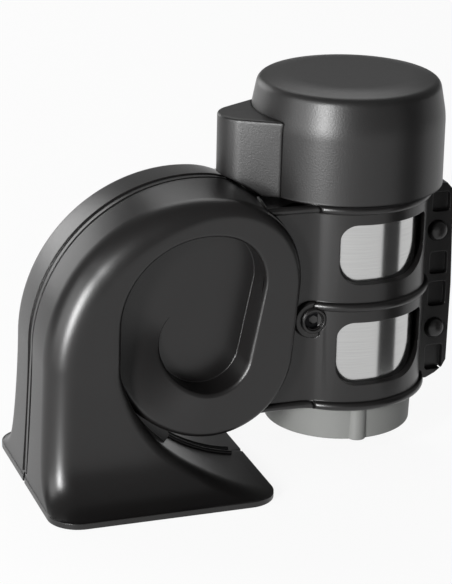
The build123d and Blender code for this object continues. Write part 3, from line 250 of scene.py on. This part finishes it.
# ======================================================================= web, beads and gusset
# Ribs of the same mouldings: the web that ties the trumpet to the motor's collar, with a bead along
# its top and its foot, the gusset under the loop, and the raised edge up the flare's right wall.
COLLAR_R = 24.4
WEB_LEFT, WEB_W, WEB_BLEND = -33.5, 15.35, 12.0
WEB_LOW, WEB_HIGH = 20.0, 82.0
WEB_BEAD_R, WEB_BEAD_HEIGHTS = 1.15, (21.2, 81.1)
EDGE_BEAD_R, EDGE_BEAD_OUT, EDGE_BEAD_W = 0.8, 0.2, 1.6
EDGE_BEAD_LOW, EDGE_BEAD_HIGH = 1.9, 12.0
GUSSET_W = 12.5
GUSSET_OUTLINE = np.array([(-73.4, 33.0), (-70.0, 22.0), (-63.0, 14.0), (-60.0, 12.3), (-58.0, 15.0),
                           (-60.0, 22.0), (-66.0, 31.0), (-73.4, 33.0)])


def web_path(front):
    """Plan of the web's face: straight along the face, then an arc that meets the collar's circle."""
    side = -1 if front else 1
    away = WEB_W + side * SEAM_Y + WEB_BLEND
    centre = np.array([-np.sqrt((COLLAR_R + WEB_BLEND) ** 2 - away ** 2), side * away])
    last = np.arctan2(-centre[1], -centre[0])
    first = np.radians(90.0 if front else -90.0)
    turns = np.linspace(first, last, 24)
    bend = centre + WEB_BLEND * np.stack([np.cos(turns), np.sin(turns)], axis=-1)
    return np.concatenate([[[WEB_LEFT + 1, bend[0, 1]]], bend])


def web_skin(front):
    """Wall along the web's plan from foot to top, closed above and below as far as the seam."""
    plan = web_path(front)
    y = np.where([True, False, False, True], SEAM_Y, plan[:, 1:])
    return surface(in_metres(plan[:, :1], y, np.array([WEB_LOW, WEB_LOW, WEB_HIGH, WEB_HIGH])), front)


def round_bead(path, radius):
    """Bead along a path in a plane: a circle carried square to the path. Gives its two coordinates in
    the plane, the path plus the cosine's share of its sideways direction, and the sine's share out of it."""
    ahead = np.gradient(path, axis=0)
    ahead /= np.hypot(ahead[:, 0], ahead[:, 1])[:, None]
    turn = np.linspace(0, 2 * np.pi, 17)
    along = path[:, :1] + radius * np.cos(turn) * ahead[:, 1:]
    across = path[:, 1:] - radius * np.cos(turn) * ahead[:, :1]
    return along, across, radius * np.sin(turn)


def web_bead(front, z):
    """Bead along the web's plan at one height."""
    x, y, up = round_bead(web_path(front), WEB_BEAD_R)
    return surface(in_metres(x, y, z + up), False)


def edge_bead(front):
    """Raised edge up the flare's right wall, beside the seam."""
    z = np.linspace(EDGE_BEAD_LOW, EDGE_BEAD_HIGH, 40)
    x, up, out = round_bead(np.stack([flare_right(z) + EDGE_BEAD_OUT, z], axis=-1), EDGE_BEAD_R)
    return surface(to_frame(x, up, EDGE_BEAD_W + out, front), not front)


def gusset(front):
    """Filled corner between the loop's foot and the flare: a flat face from the outline's middle to the
    outline, and walls down to the seam."""
    x, z = GUSSET_OUTLINE.T
    ring_x = np.stack([x * 0 + x.mean(), x, x], axis=-1)
    ring_z = np.stack([z * 0 + z.mean(), z, z], axis=-1)
    return surface(to_frame(ring_x, ring_z, np.array([GUSSET_W, GUSSET_W, 0.0]), front), not front)


# ======================================================================= the two housings
# Front and rear half of the trumpet, each one moulding with its web, its half of the collar and of the
# flange, from a mould whose walls were spark-eroded to a fine pebble. The front has the stepped boss of
# the clamp screw, and two domes over the blind holes of the screws that come through from behind.
FRONT_MOUTH_W, REAR_MOUTH_W = 35.4, 33.8
FRONT_CORNERS = ([-90, 20, 60, 90, 115, 140, 180], [1.5, 1.5, 3.0, 5.0, 8.0, 9.5, 8.0])
REAR_CORNERS = ([-90, 60, 90, 180], [5.0, 5.0, 5.0, 8.0])
CLAMP_PLACE, DOME_PLACES = (-16.3, 47.7), ((27.5, 66.8), (28.0, 36.0))
CLAMP_PROFILE = [(5.6, 14.0), (5.6, 16.4), (5.2, 16.9), (3.9, 16.9), (3.9, 17.5), (3.5, 17.9), (3.0, 17.9),
                 (2.7, 17.6), (2.7, 15.5)]
DOME_PROFILE = [(3.0, 1.6), (3.0, 3.6), (2.8, 4.4), (2.3, 5.0), (1.6, 5.3), (0.02, 5.4)]

# How far the new skins stand for the solid's faces: at the skin itself, in the panel, under the crown
# and beside the flare. On the back, faces that turn away from the skin or stand out from it stay.
SKIN_BELOW, SKIN_ABOVE, RIM_MARGIN = -1.0, 4.5, 0.15
PANEL_MARGIN = 1.2
CROWN_SHELL, CROWN_REACH, CROWN_TURNS = 4.5, 48.0, (60, 150)
FLARE_MARGIN, FLARE_W, FLARE_LOW, FLARE_HIGH, FLARE_RIGHT, LOOP_MARGIN = 0.35, 4, 0.2, 30, 4, 0.5
BACK_FACING, BACK_STEP, BACK_LOW, BACK_LEFT = 0.3, 0.2, 25, 2


def turned_boss(x, z, profile):
    """Boss on the front, round an axis along Y: each pair of radius and w in the profile goes round it."""
    radius, w = np.array(profile).T
    turn = np.linspace(0, 2 * np.pi, 49)[:, None]
    return surface(to_frame(x + radius * np.cos(turn), z + radius * np.sin(turn), w, True), False)


def join_surfaces(parts):
    """Points and faces of several surfaces as one, a triangle's last corner written twice."""
    shift, all_faces = 0, []
    for points, faces in parts:
        if faces.shape[1] == 3:
            faces = np.concatenate([faces, faces[:, 2:]], axis=1)
        all_faces.append(faces + shift)
        shift += len(points)
    return np.concatenate([points for points, faces in parts]), np.concatenate(all_faces)


def covered(points, faces, skin, front):
    """Which faces of a housing's solid the new skin stands for. The height of a face is the distance
    from its middle to the skin's nearest point, with the sign of its product with the skin's normal."""
    tree = BVHTree.FromPolygons(*[part.tolist() for part in join_surfaces(skin)])
    middle = points[faces].mean(axis=1)
    found = [tree.find_nearest(Vector(point)) for point in middle]
    near, normal = np.array([hit[0] for hit in found]), np.array([hit[1] for hit in found])
    away = np.array([hit[3] for hit in found]) * 1000
    height = np.copysign(away, ((middle - near) * normal).sum(axis=1))
    square = np.cross(points[faces[:, 1]] - points[faces[:, 0]], points[faces[:, 2]] - points[faces[:, 0]])
    facing = (square * normal).sum(axis=1) / np.maximum(np.linalg.norm(square, axis=1), 1e-12)

    corner_x, corner_y, corner_z = np.moveaxis(points[faces] * 1000 - MOTOR_FOOT, 2, 0)
    corner_w = SEAM_Y - corner_y if front else corner_y - SEAM_Y
    x, y, z = (middle * 1000 - MOTOR_FOOT).T
    w = SEAM_Y - y if front else y - SEAM_Y
    turns = eye_turn(x - EYE[0], z - EYE[1])
    turns = np.where(turns > 180, turns - 360, turns)
    reach = np.hypot(x - EYE[0], z - EYE[1])

    # On the rear half, the web and what stands out from the back, such as the fixing boss, stay.
    stands_out = (x > WEB_LEFT - BACK_LEFT) & (z > BACK_LOW) | (w > DEPTH + BACK_STEP)
    stands_out &= (facing < BACK_FACING) & (not front)
    at_skin = (height > SKIN_BELOW) & (height < SKIN_ABOVE) & (z > LEG_FOOT + RIM_MARGIN) & ~stands_out
    in_panel = (reach < panel_reach(turns) + PANEL_MARGIN) & (corner_w.max(axis=1) > FLOOR_DEPTH + RAMP_STEP)
    in_crown = (reach > panel_reach(turns)) & (reach < CROWN_REACH) & (x < WEB_LEFT) & ~stands_out
    in_crown &= (turns > CROWN_TURNS[0]) & (turns < CROWN_TURNS[1])
    in_crown &= corner_w.max(axis=1) > DEPTH - CROWN_SHELL
    past_flare = (corner_x > flare_right(corner_z) + FLARE_MARGIN) & (corner_z > LEG_FOOT + FLARE_LOW)
    past_flare &= np.hypot(corner_x - EYE[0], corner_z - EYE[1]) > LOOP_R + LOOP_MARGIN
    past_flare &= corner_z < FLARE_HIGH
    at_flare = past_flare.any(axis=1) & (x < WEB_LEFT + FLARE_RIGHT) & (w < FLARE_W)
    return at_skin | in_panel | in_crown | at_flare


def hex_linear(code):
    """Linear red, green, blue and alpha of an sRGB hex colour, by the sRGB curve's inverse."""
    channels = np.array([int(code[i:i + 2], 16) for i in (1, 3, 5)]) / 255
    linear = np.where(channels <= 0.04045, channels / 12.92, ((channels + 0.055) / 1.055) ** 2.4)
    return (*linear.tolist(), 1.0)


def add_node(tree, kind, settings=None, **inputs):
    """Add a shader node, set its properties and fill its sockets with constants or other sockets."""
    node = tree.nodes.new(kind)
    for name, value in (settings or {}).items():
        setattr(node, name, value)
    for name, value in inputs.items():
        key = int(name[1:]) if name[0] == "_" else name.replace("_", " ")
        if isinstance(value, bpy.types.NodeSocket):
            tree.links.new(value, node.inputs[key])
        else:
            node.inputs[key].default_value = value
    return node


def new_material(name):
    """A material with an empty node tree and its output node."""
    material = bpy.data.materials.new(name)
    material.use_nodes = True
    tree = material.node_tree
    tree.nodes.clear()
    return material, tree, tree.nodes.new("ShaderNodeOutputMaterial")


def moulded_plastic(name, dark, light, roughness, grain_mm, relief_mm, edge_mm):
    """Moulded plastic: two close tones in soft clouds, a spark-finish grain, worn-in soft edges.
    The real grain is some hundredths of a millimetre wide, and is drawn coarser here so that it shows."""
    cloud_mm = 18
    gloss_spread = 0.05
    material, tree, output = new_material(name)
    place = add_node(tree, "ShaderNodeTexCoord").outputs["Object"]
    cloud = add_node(tree, "ShaderNodeTexNoise", Vector=place, Scale=1000 / cloud_mm, Detail=2.0)
    tone = add_node(tree, "ShaderNodeMix", {"data_type": "RGBA"},
                    _0=cloud.outputs["Fac"], _6=hex_linear(dark), _7=hex_linear(light))
    grain = add_node(tree, "ShaderNodeTexNoise", Vector=place, Scale=1000 / grain_mm, Detail=3.0)
    gloss = add_node(tree, "ShaderNodeMapRange", Value=grain.outputs["Fac"],
                     To_Min=roughness - gloss_spread, To_Max=roughness + gloss_spread)
    soft = add_node(tree, "ShaderNodeBevel", {"samples": 4}, Radius=edge_mm / 1000)
    bump = add_node(tree, "ShaderNodeBump", Height=grain.outputs["Fac"], Normal=soft.outputs["Normal"],
                    Strength=1.0, Distance=relief_mm / 1000)
    shader = add_node(tree, "ShaderNodeBsdfPrincipled", Base_Color=tone.outputs[2],
                      Roughness=gloss.outputs["Result"], IOR=1.5, Normal=bump.outputs["Normal"])
    tree.links.new(shader.outputs["BSDF"], output.inputs["Surface"])
    return material


def mesh_arrays(mesh):
    """Points and triangles of a mesh that is made of triangles, as arrays."""
    points = np.empty(len(mesh.vertices) * 3, dtype=np.float32)
    mesh.vertices.foreach_get("co", points)
    triangles = np.empty(len(mesh.loops), dtype=np.int32)
    mesh.loops.foreach_get("vertex_index", triangles)
    return points.reshape(-1, 3), triangles.reshape(-1, 3)


def smooth_mesh(name, points, faces):
    """Smooth-shaded mesh: points in the same micrometre become one, faces that shrink to a line are
    left out, and sharp edges stay sharp."""
    sharp_degrees = 32
    mesh = bpy.data.meshes.new(name)
    keys, index = np.unique(np.round(points * 1e6).astype(np.int64), axis=0, return_inverse=True)
    corners = [tuple(dict.fromkeys(face)) for face in index.reshape(-1)[faces].tolist()]
    mesh.from_pydata((keys / 1e6).tolist(), [], [face for face in corners if len(face) > 2])
    mesh.update()
    mesh.polygons.foreach_set("use_smooth", np.ones(len(mesh.polygons), dtype=bool))
    mesh.set_sharp_from_angle(angle=radians(sharp_degrees))
    return mesh


def dress(node, material):
    """Show a smooth copy of a node's solid, on the horn's fixed body, in the place of the node."""
    mesh = smooth_mesh(node + "_finish", *mesh_arrays(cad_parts[node].data))
    mesh.materials.append(material)
    piece = bpy.data.objects.new(node + "_finish", mesh)
    bpy.context.scene.collection.objects.link(piece)
    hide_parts(node)
    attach(piece, "horn")
    return piece


# Satin black with a faint pebble: broad soft highlights along the bends, dark flat faces.
black_nylon = moulded_plastic("black_glass_filled_nylon", "#0e0d0d", "#131212", 0.32, 0.36, 0.016, 0.4)
for node, front, mouth_w, corners in (("front_housing", True, FRONT_MOUTH_W, FRONT_CORNERS),
                                      ("rear_housing", False, REAR_MOUTH_W, REAR_CORNERS)):
    housing = dress(node, black_nylon)
    skins = [trumpet_skin(front, mouth_w, *corners), panel_floor(front), web_skin(front)]
    skins += [web_bead(front, height) for height in WEB_BEAD_HEIGHTS] + [edge_bead(front), gusset(front)]
    if front:
        skins.append(turned_boss(*CLAMP_PLACE, CLAMP_PROFILE))
        skins += [turned_boss(*place, DOME_PROFILE) for place in DOME_PLACES]
    points, faces = mesh_arrays(housing.data)
    points = points.astype(float)
    kept = faces[~covered(points, faces, skins[:2], front)]
    housing.data = smooth_mesh(node + "_finish", *join_surfaces([(points, kept)] + skins))
    housing.data.materials.append(black_nylon)

# ======================================================================= divider plate
# Flat plate of the same nylon, clamped between the halves. It parts the front trumpet's air from the
# rear one's, and its edge is the dark line down the middle of the seam.
dress("divider_plate", black_nylon)

# ======================================================================= compressor cap
# Cap over the vane pump, moulded in black nylon with a coarser spark finish than the housings.
# It is pressed over the pump's base on a rubber ring, and its spigot plugs into the trumpet.
CAP_PROFILE = np.array([[28.34, 83.5], [28.25, 104.0], [26.4, 113.7], [19.45, 115.2], [0.0, 115.2]])
CAP_SOFT = np.array([2.2, 2.0, 3.0])
SIDE_R, SHOULDER_R = (28.1, 28.5), (26.0, 28.4)
SHOULDER_LOW, TOP_LOW = 103.9, 113.4


def cap_skin():
    """Surface of revolution: each corner of the profile is eased by a quadratic curve whose weights
    are the squares of t and 1 - t and twice their product, with the corner in the middle."""
    t = np.linspace(0, 1, 9)[:, None]
    rows = [CAP_PROFILE[:1]]
    for before, corner, after, cut in zip(CAP_PROFILE, CAP_PROFILE[1:], CAP_PROFILE[2:], CAP_SOFT):
        start = corner + (before - corner) / np.hypot(*(before - corner)) * cut
        end = corner + (after - corner) / np.hypot(*(after - corner)) * cut
        rows.append(start * (1 - t) ** 2 + corner * 2 * t * (1 - t) + end * t ** 2)
    radius, height = np.concatenate(rows + [CAP_PROFILE[-1:]]).T
    turn = np.linspace(0, 2 * np.pi, 145)[:, None]
    return surface(in_metres(radius * np.cos(turn), radius * np.sin(turn), height), False)


def between(values, limits):
    """Which faces have all their corners' values between two limits."""
    return ((values > limits[0]) & (values < limits[1])).all(axis=1)


# Softer black than the housings, with a grain that breaks the lights up into a dull sheen.
black_cap = moulded_plastic("coarse_spark_black_nylon", "#131313", "#191818", 0.38, 0.45, 0.035, 0.7)
cap = dress("compressor_cap", black_cap)
cap_points, cap_faces = mesh_arrays(cap.data)
cap_points = cap_points.astype(float)
cap_x, cap_y, cap_z = np.moveaxis(cap_points[cap_faces] * 1000 - MOTOR_FOOT, 2, 0)
cap_r = np.hypot(cap_x, cap_y)
under_skin = between(cap_r, SIDE_R) | (cap_z > TOP_LOW).all(axis=1)
under_skin |= (cap_z > SHOULDER_LOW).all(axis=1) & between(cap_r, SHOULDER_R)
cap_parts = [(cap_points, cap_faces[~under_skin]), cap_skin()]
cap.data = smooth_mesh("compressor_cap_finish", *join_surfaces(cap_parts))
cap.data.materials.append(black_cap)

# ======================================================================= motor end cap
# Grey nylon moulding that closes the motor from below and carries brushes and terminals. The can's
# edge is rolled over it.
# Dull, even mid grey: the glass fibre in it leaves hardly any gloss.
grey_nylon = moulded_plastic("matte_grey_nylon", "#6a6b69", "#737472", 0.58, 0.4, 0.01, 0.5)
dress("end_cap", grey_nylon)


# ======================================================================= motor can
# Deep-drawn steel can, bright from the drawing die, with fine marks round its circumference. It is
# the motor's field ring too, and the collar's clamp screw holds it.
def drawn_steel(name, dark, light, roughness, mark_mm):
    """Drawn or turned bright metal: fine marks that run round the upright axis, as noise stretched to
    25 mm sideways. The real marks are some hundredths of a millimetre high, and are drawn coarser so
    that they show."""
    stretch_mm = 25
    material, tree, output = new_material(name)
    place = add_node(tree, "ShaderNodeTexCoord").outputs["Object"]
    stretched = add_node(tree, "ShaderNodeMapping", Vector=place,
                         Scale=(1000 / stretch_mm, 1000 / stretch_mm, 1000 / mark_mm))
    marks = add_node(tree, "ShaderNodeTexNoise", Vector=stretched.outputs["Vector"], Scale=1.0, Detail=2.0)
    tone = add_node(tree, "ShaderNodeMix", {"data_type": "RGBA"},
                    _0=marks.outputs["Fac"], _6=hex_linear(dark), _7=hex_linear(light))
    bump = add_node(tree, "ShaderNodeBump", Height=marks.outputs["Fac"], Strength=0.6, Distance=0.000004)
    shader = add_node(tree, "ShaderNodeBsdfPrincipled", Base_Color=tone.outputs[2], Metallic=1.0,
                      Roughness=roughness, Normal=bump.outputs["Normal"])
    tree.links.new(shader.outputs["BSDF"], output.inputs["Surface"])
    return material


# Nearly a mirror: it shows the pale surroundings as bright upright bands with one dark stripe.
bright_can = drawn_steel("bright_drawn_steel", "#b4b4b4", "#cfcfce", 0.16, 0.3)
dress("motor_can", bright_can)

# ======================================================================= screws, insert and terminals
# Steel screws with a black zinc plate, a turned brass insert moulded into the rear boss, and spade
# terminals stamped from tinned brass strip.
# The screws are dark with a dull glint, the insert is warm and bright, the terminals pale and soft.
black_zinc = drawn_steel("black_zinc_plate", "#131314", "#1b1b1c", 0.35, 0.3)
for name in ("flange_screws", "clamp_screw"):
    dress(name, black_zinc)
turned_brass = drawn_steel("turned_brass", "#b08d45", "#c9a862", 0.3, 0.25)
dress("fixing_insert", turned_brass)
tinned_brass = drawn_steel("tinned_brass_strip", "#b9b09a", "#cfc8b4", 0.32, 0.3)
for name in ("terminal_plus", "terminal_minus"):
    dress(name, tinned_brass)

# ======================================================================= pieces inside
# What the housings hide: pump, armature, magnets, brushes and the sounding unit. Each keeps
# its own solid and gets the finish of its real material.
# Metals have a dull shine, in grey, brown and copper red. The rest is matte, and the felt has no gloss.
plated = drawn_steel("zinc_plated_steel", "#8d8f92", "#a9abad", 0.35, 0.3)
cast_alloy = drawn_steel("turned_alloy", "#a4a6a8", "#bcbec0", 0.4, 0.3)
bronze = drawn_steel("sintered_bronze", "#7a5a34", "#93703f", 0.5, 0.4)
copper = drawn_steel("enamelled_copper", "#a4532a", "#c26a38", 0.38, 0.6)
ferrite = moulded_plastic("sintered_ferrite", "#262627", "#303031", 0.7, 0.4, 0.01, 0.2)
carbon = moulded_plastic("pressed_carbon", "#1d1d1e", "#2a2a2b", 0.6, 0.3, 0.01, 0.2)
rubber = moulded_plastic("soft_black_rubber", "#141414", "#1c1c1c", 0.75, 0.4, 0.005, 0.3)
laminate = moulded_plastic("brown_laminate", "#5a3a1e", "#6b4726", 0.55, 0.6, 0.005, 0.2)
felt = moulded_plastic("pressed_felt", "#8e887b", "#a39c8d", 0.95, 0.5, 0.05, 0.2)
INSIDE = (
    (black_nylon, ("driver_body",)),
    (plated, ("front_diaphragm", "rear_diaphragm", "front_clamp_ring", "rear_clamp_ring", "pump_screws",
              "shaft", "laminations", "brush_spring_left", "brush_spring_right")),
    (rubber, ("cap_seal", "inlet_seal")),
    (cast_alloy, ("pump_base", "pump_ring", "pump_cover", "pump_rotor")),
    (felt, ("intake_filter",)),
    (bronze, ("upper_bush", "lower_bush")),
    (ferrite, ("magnet_left", "magnet_right")),
    (copper, ("windings", "commutator")),
    (laminate, ("brush_plate",)),
    (carbon, ("brush_left", "brush_right", "vane_1", "vane_2", "vane_3", "vane_4")),
)
for material, names in INSIDE:
    for name in names:
        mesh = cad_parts[name].data
        mesh.materials.clear()
        mesh.materials.append(material)


# ======================================================================= floor, light and camera
# A wide pale floor under the mouth's rim, a soft even sky, four soft lamps and a card that only the
# gloss sees. The camera stands in front on the left, a little above, and leans by a degree.
def studio_floor(name, colour, lens_share, gloss_share):
    """Matte white sheet. A share of what the lens sees of it, and a smaller share of what the gloss
    sees, is plain white; the rest is the lit sheet, so that the object keeps its shadow."""
    material, tree, output = new_material(name)
    sheet = add_node(tree, "ShaderNodeBsdfDiffuse", Color=hex_linear(colour))
    white = add_node(tree, "ShaderNodeEmission", Color=(1.0, 1.0, 1.0, 1.0), Strength=1.0)
    rays = add_node(tree, "ShaderNodeLightPath")
    lens = add_node(tree, "ShaderNodeMath", {"operation": "MULTIPLY"},
                    _0=rays.outputs["Is Camera Ray"], _1=lens_share)
    gloss = add_node(tree, "ShaderNodeMath", {"operation": "MULTIPLY"},
                     _0=rays.outputs["Is Glossy Ray"], _1=gloss_share)
    share = add_node(tree, "ShaderNodeMath", {"operation": "MAXIMUM"}, _0=lens.outputs[0], _1=gloss.outputs[0])
    surface_mix = add_node(tree, "ShaderNodeMixShader", _0=share.outputs[0],
                           _1=sheet.outputs[0], _2=white.outputs[0])
    tree.links.new(surface_mix.outputs[0], output.inputs["Surface"])
    return material


FLOOR_HALF = 6.0
RIM_Z = float(MOTOR_FOOT[2]) / 1000
FLOOR_Z = RIM_Z - 0.0002
floor_mesh = bpy.data.meshes.new("floor")
floor_mesh.from_pydata([(-FLOOR_HALF, -FLOOR_HALF, FLOOR_Z), (FLOOR_HALF, -FLOOR_HALF, FLOOR_Z),
                        (FLOOR_HALF, FLOOR_HALF, FLOOR_Z), (-FLOOR_HALF, FLOOR_HALF, FLOOR_Z)],
                       [], [(0, 1, 2, 3)])
floor = bpy.data.objects.new("floor", floor_mesh)
floor_mesh.materials.append(studio_floor("white_floor", "#f4f4f4", 0.9, 0.7))
bpy.context.scene.collection.objects.link(floor)

world = bpy.data.worlds.new("studio")
bpy.context.scene.world = world
world.use_nodes = True
sky = world.node_tree
sky.nodes.clear()
background = add_node(sky, "ShaderNodeBackground", Color=(1.0, 1.0, 1.0, 1.0), Strength=0.2)
sky_output = sky.nodes.new("ShaderNodeOutputWorld")
sky.links.new(background.outputs["Background"], sky_output.inputs["Surface"])

HORN_MIDDLE = (-0.012, -0.028, 0.0)


def soft_lamp(name, place, width, height, watts):
    """Rectangular soft lamp turned towards the horn's middle."""
    data = bpy.data.lights.new(name, "AREA")
    data.shape = "RECTANGLE"
    data.size = width
    data.size_y = height
    data.energy = watts
    lamp = bpy.data.objects.new(name, data)
    lamp.location = place
    lamp.rotation_euler = (Vector(HORN_MIDDLE) - Vector(place)).to_track_quat("-Z", "Y").to_euler()
    bpy.context.scene.collection.objects.link(lamp)


soft_lamp("front_left_lamp", (-0.70, -0.64, 0.12), 0.15, 0.5, 15.0)
soft_lamp("left_lamp", (-0.98, -0.20, 0.25), 0.45, 0.7, 3.5)
soft_lamp("back_left_lamp", (-0.42, 0.85, 0.25), 0.6, 0.5, 2.6)
soft_lamp("top_lamp", (0.2, 0.6, 0.85), 0.7, 0.5, 2.6)

# A dark card on the motor's right. Only the gloss sees it: it draws the dark stripe down the bright can.
CARD_TURN = radians(48.1)
CARD_AWAY, CARD_HALF, CARD_TOP = 0.083, 0.022, 0.12
MOTOR_AXIS = MOTOR_FOOT[:2] / 1000
card_out = np.array([sin(CARD_TURN), -cos(CARD_TURN)])
card_along = np.array([cos(CARD_TURN), sin(CARD_TURN)])
card_feet = MOTOR_AXIS + CARD_AWAY * card_out + np.outer([-CARD_HALF, CARD_HALF], card_along)
card_left, card_right = card_feet.tolist()
card_mesh = bpy.data.meshes.new("dark_card")
card_mesh.from_pydata([(*card_left, RIM_Z), (*card_right, RIM_Z),
                       (*card_right, CARD_TOP), (*card_left, CARD_TOP)], [], [(0, 1, 2, 3)])
card = bpy.data.objects.new("dark_card", card_mesh)
card_black, card_tree, card_output = new_material("matte_black_card")
card_face = add_node(card_tree, "ShaderNodeBsdfDiffuse", Color=hex_linear("#474747"))
card_tree.links.new(card_face.outputs[0], card_output.inputs["Surface"])
card_mesh.materials.append(card_black)
card.visible_camera = False
card.visible_shadow = False
card.visible_diffuse = False
bpy.context.scene.collection.objects.link(card)

CAMERA_PLACE = (-0.22471, -0.62762, 0.23208)
TURN = radians(-19.52)
PITCH = radians(20.09)
ROLL = radians(1.26)
LENS_MM = 143.11
back = Vector((sin(TURN) * cos(PITCH), -cos(TURN) * cos(PITCH), sin(PITCH)))
right = (-back).cross(Vector((0, 0, 1))).normalized()
up = right.cross(-back)
camera_right = right * cos(ROLL) + up * sin(ROLL)
camera_up = up * cos(ROLL) - right * sin(ROLL)
camera_data = bpy.data.cameras.new("camera")
camera_data.sensor_fit = "VERTICAL"
camera_data.sensor_height = 36.0
camera_data.lens = LENS_MM
camera = bpy.data.objects.new("camera", camera_data)
camera_turn = Matrix((camera_right, camera_up, back)).transposed()
camera.matrix_world = Matrix.Translation(CAMERA_PLACE) @ camera_turn.to_4x4()
bpy.context.scene.collection.objects.link(camera)
bpy.context.scene.camera = camera
bpy.context.scene.view_settings.view_transform = "Standard"
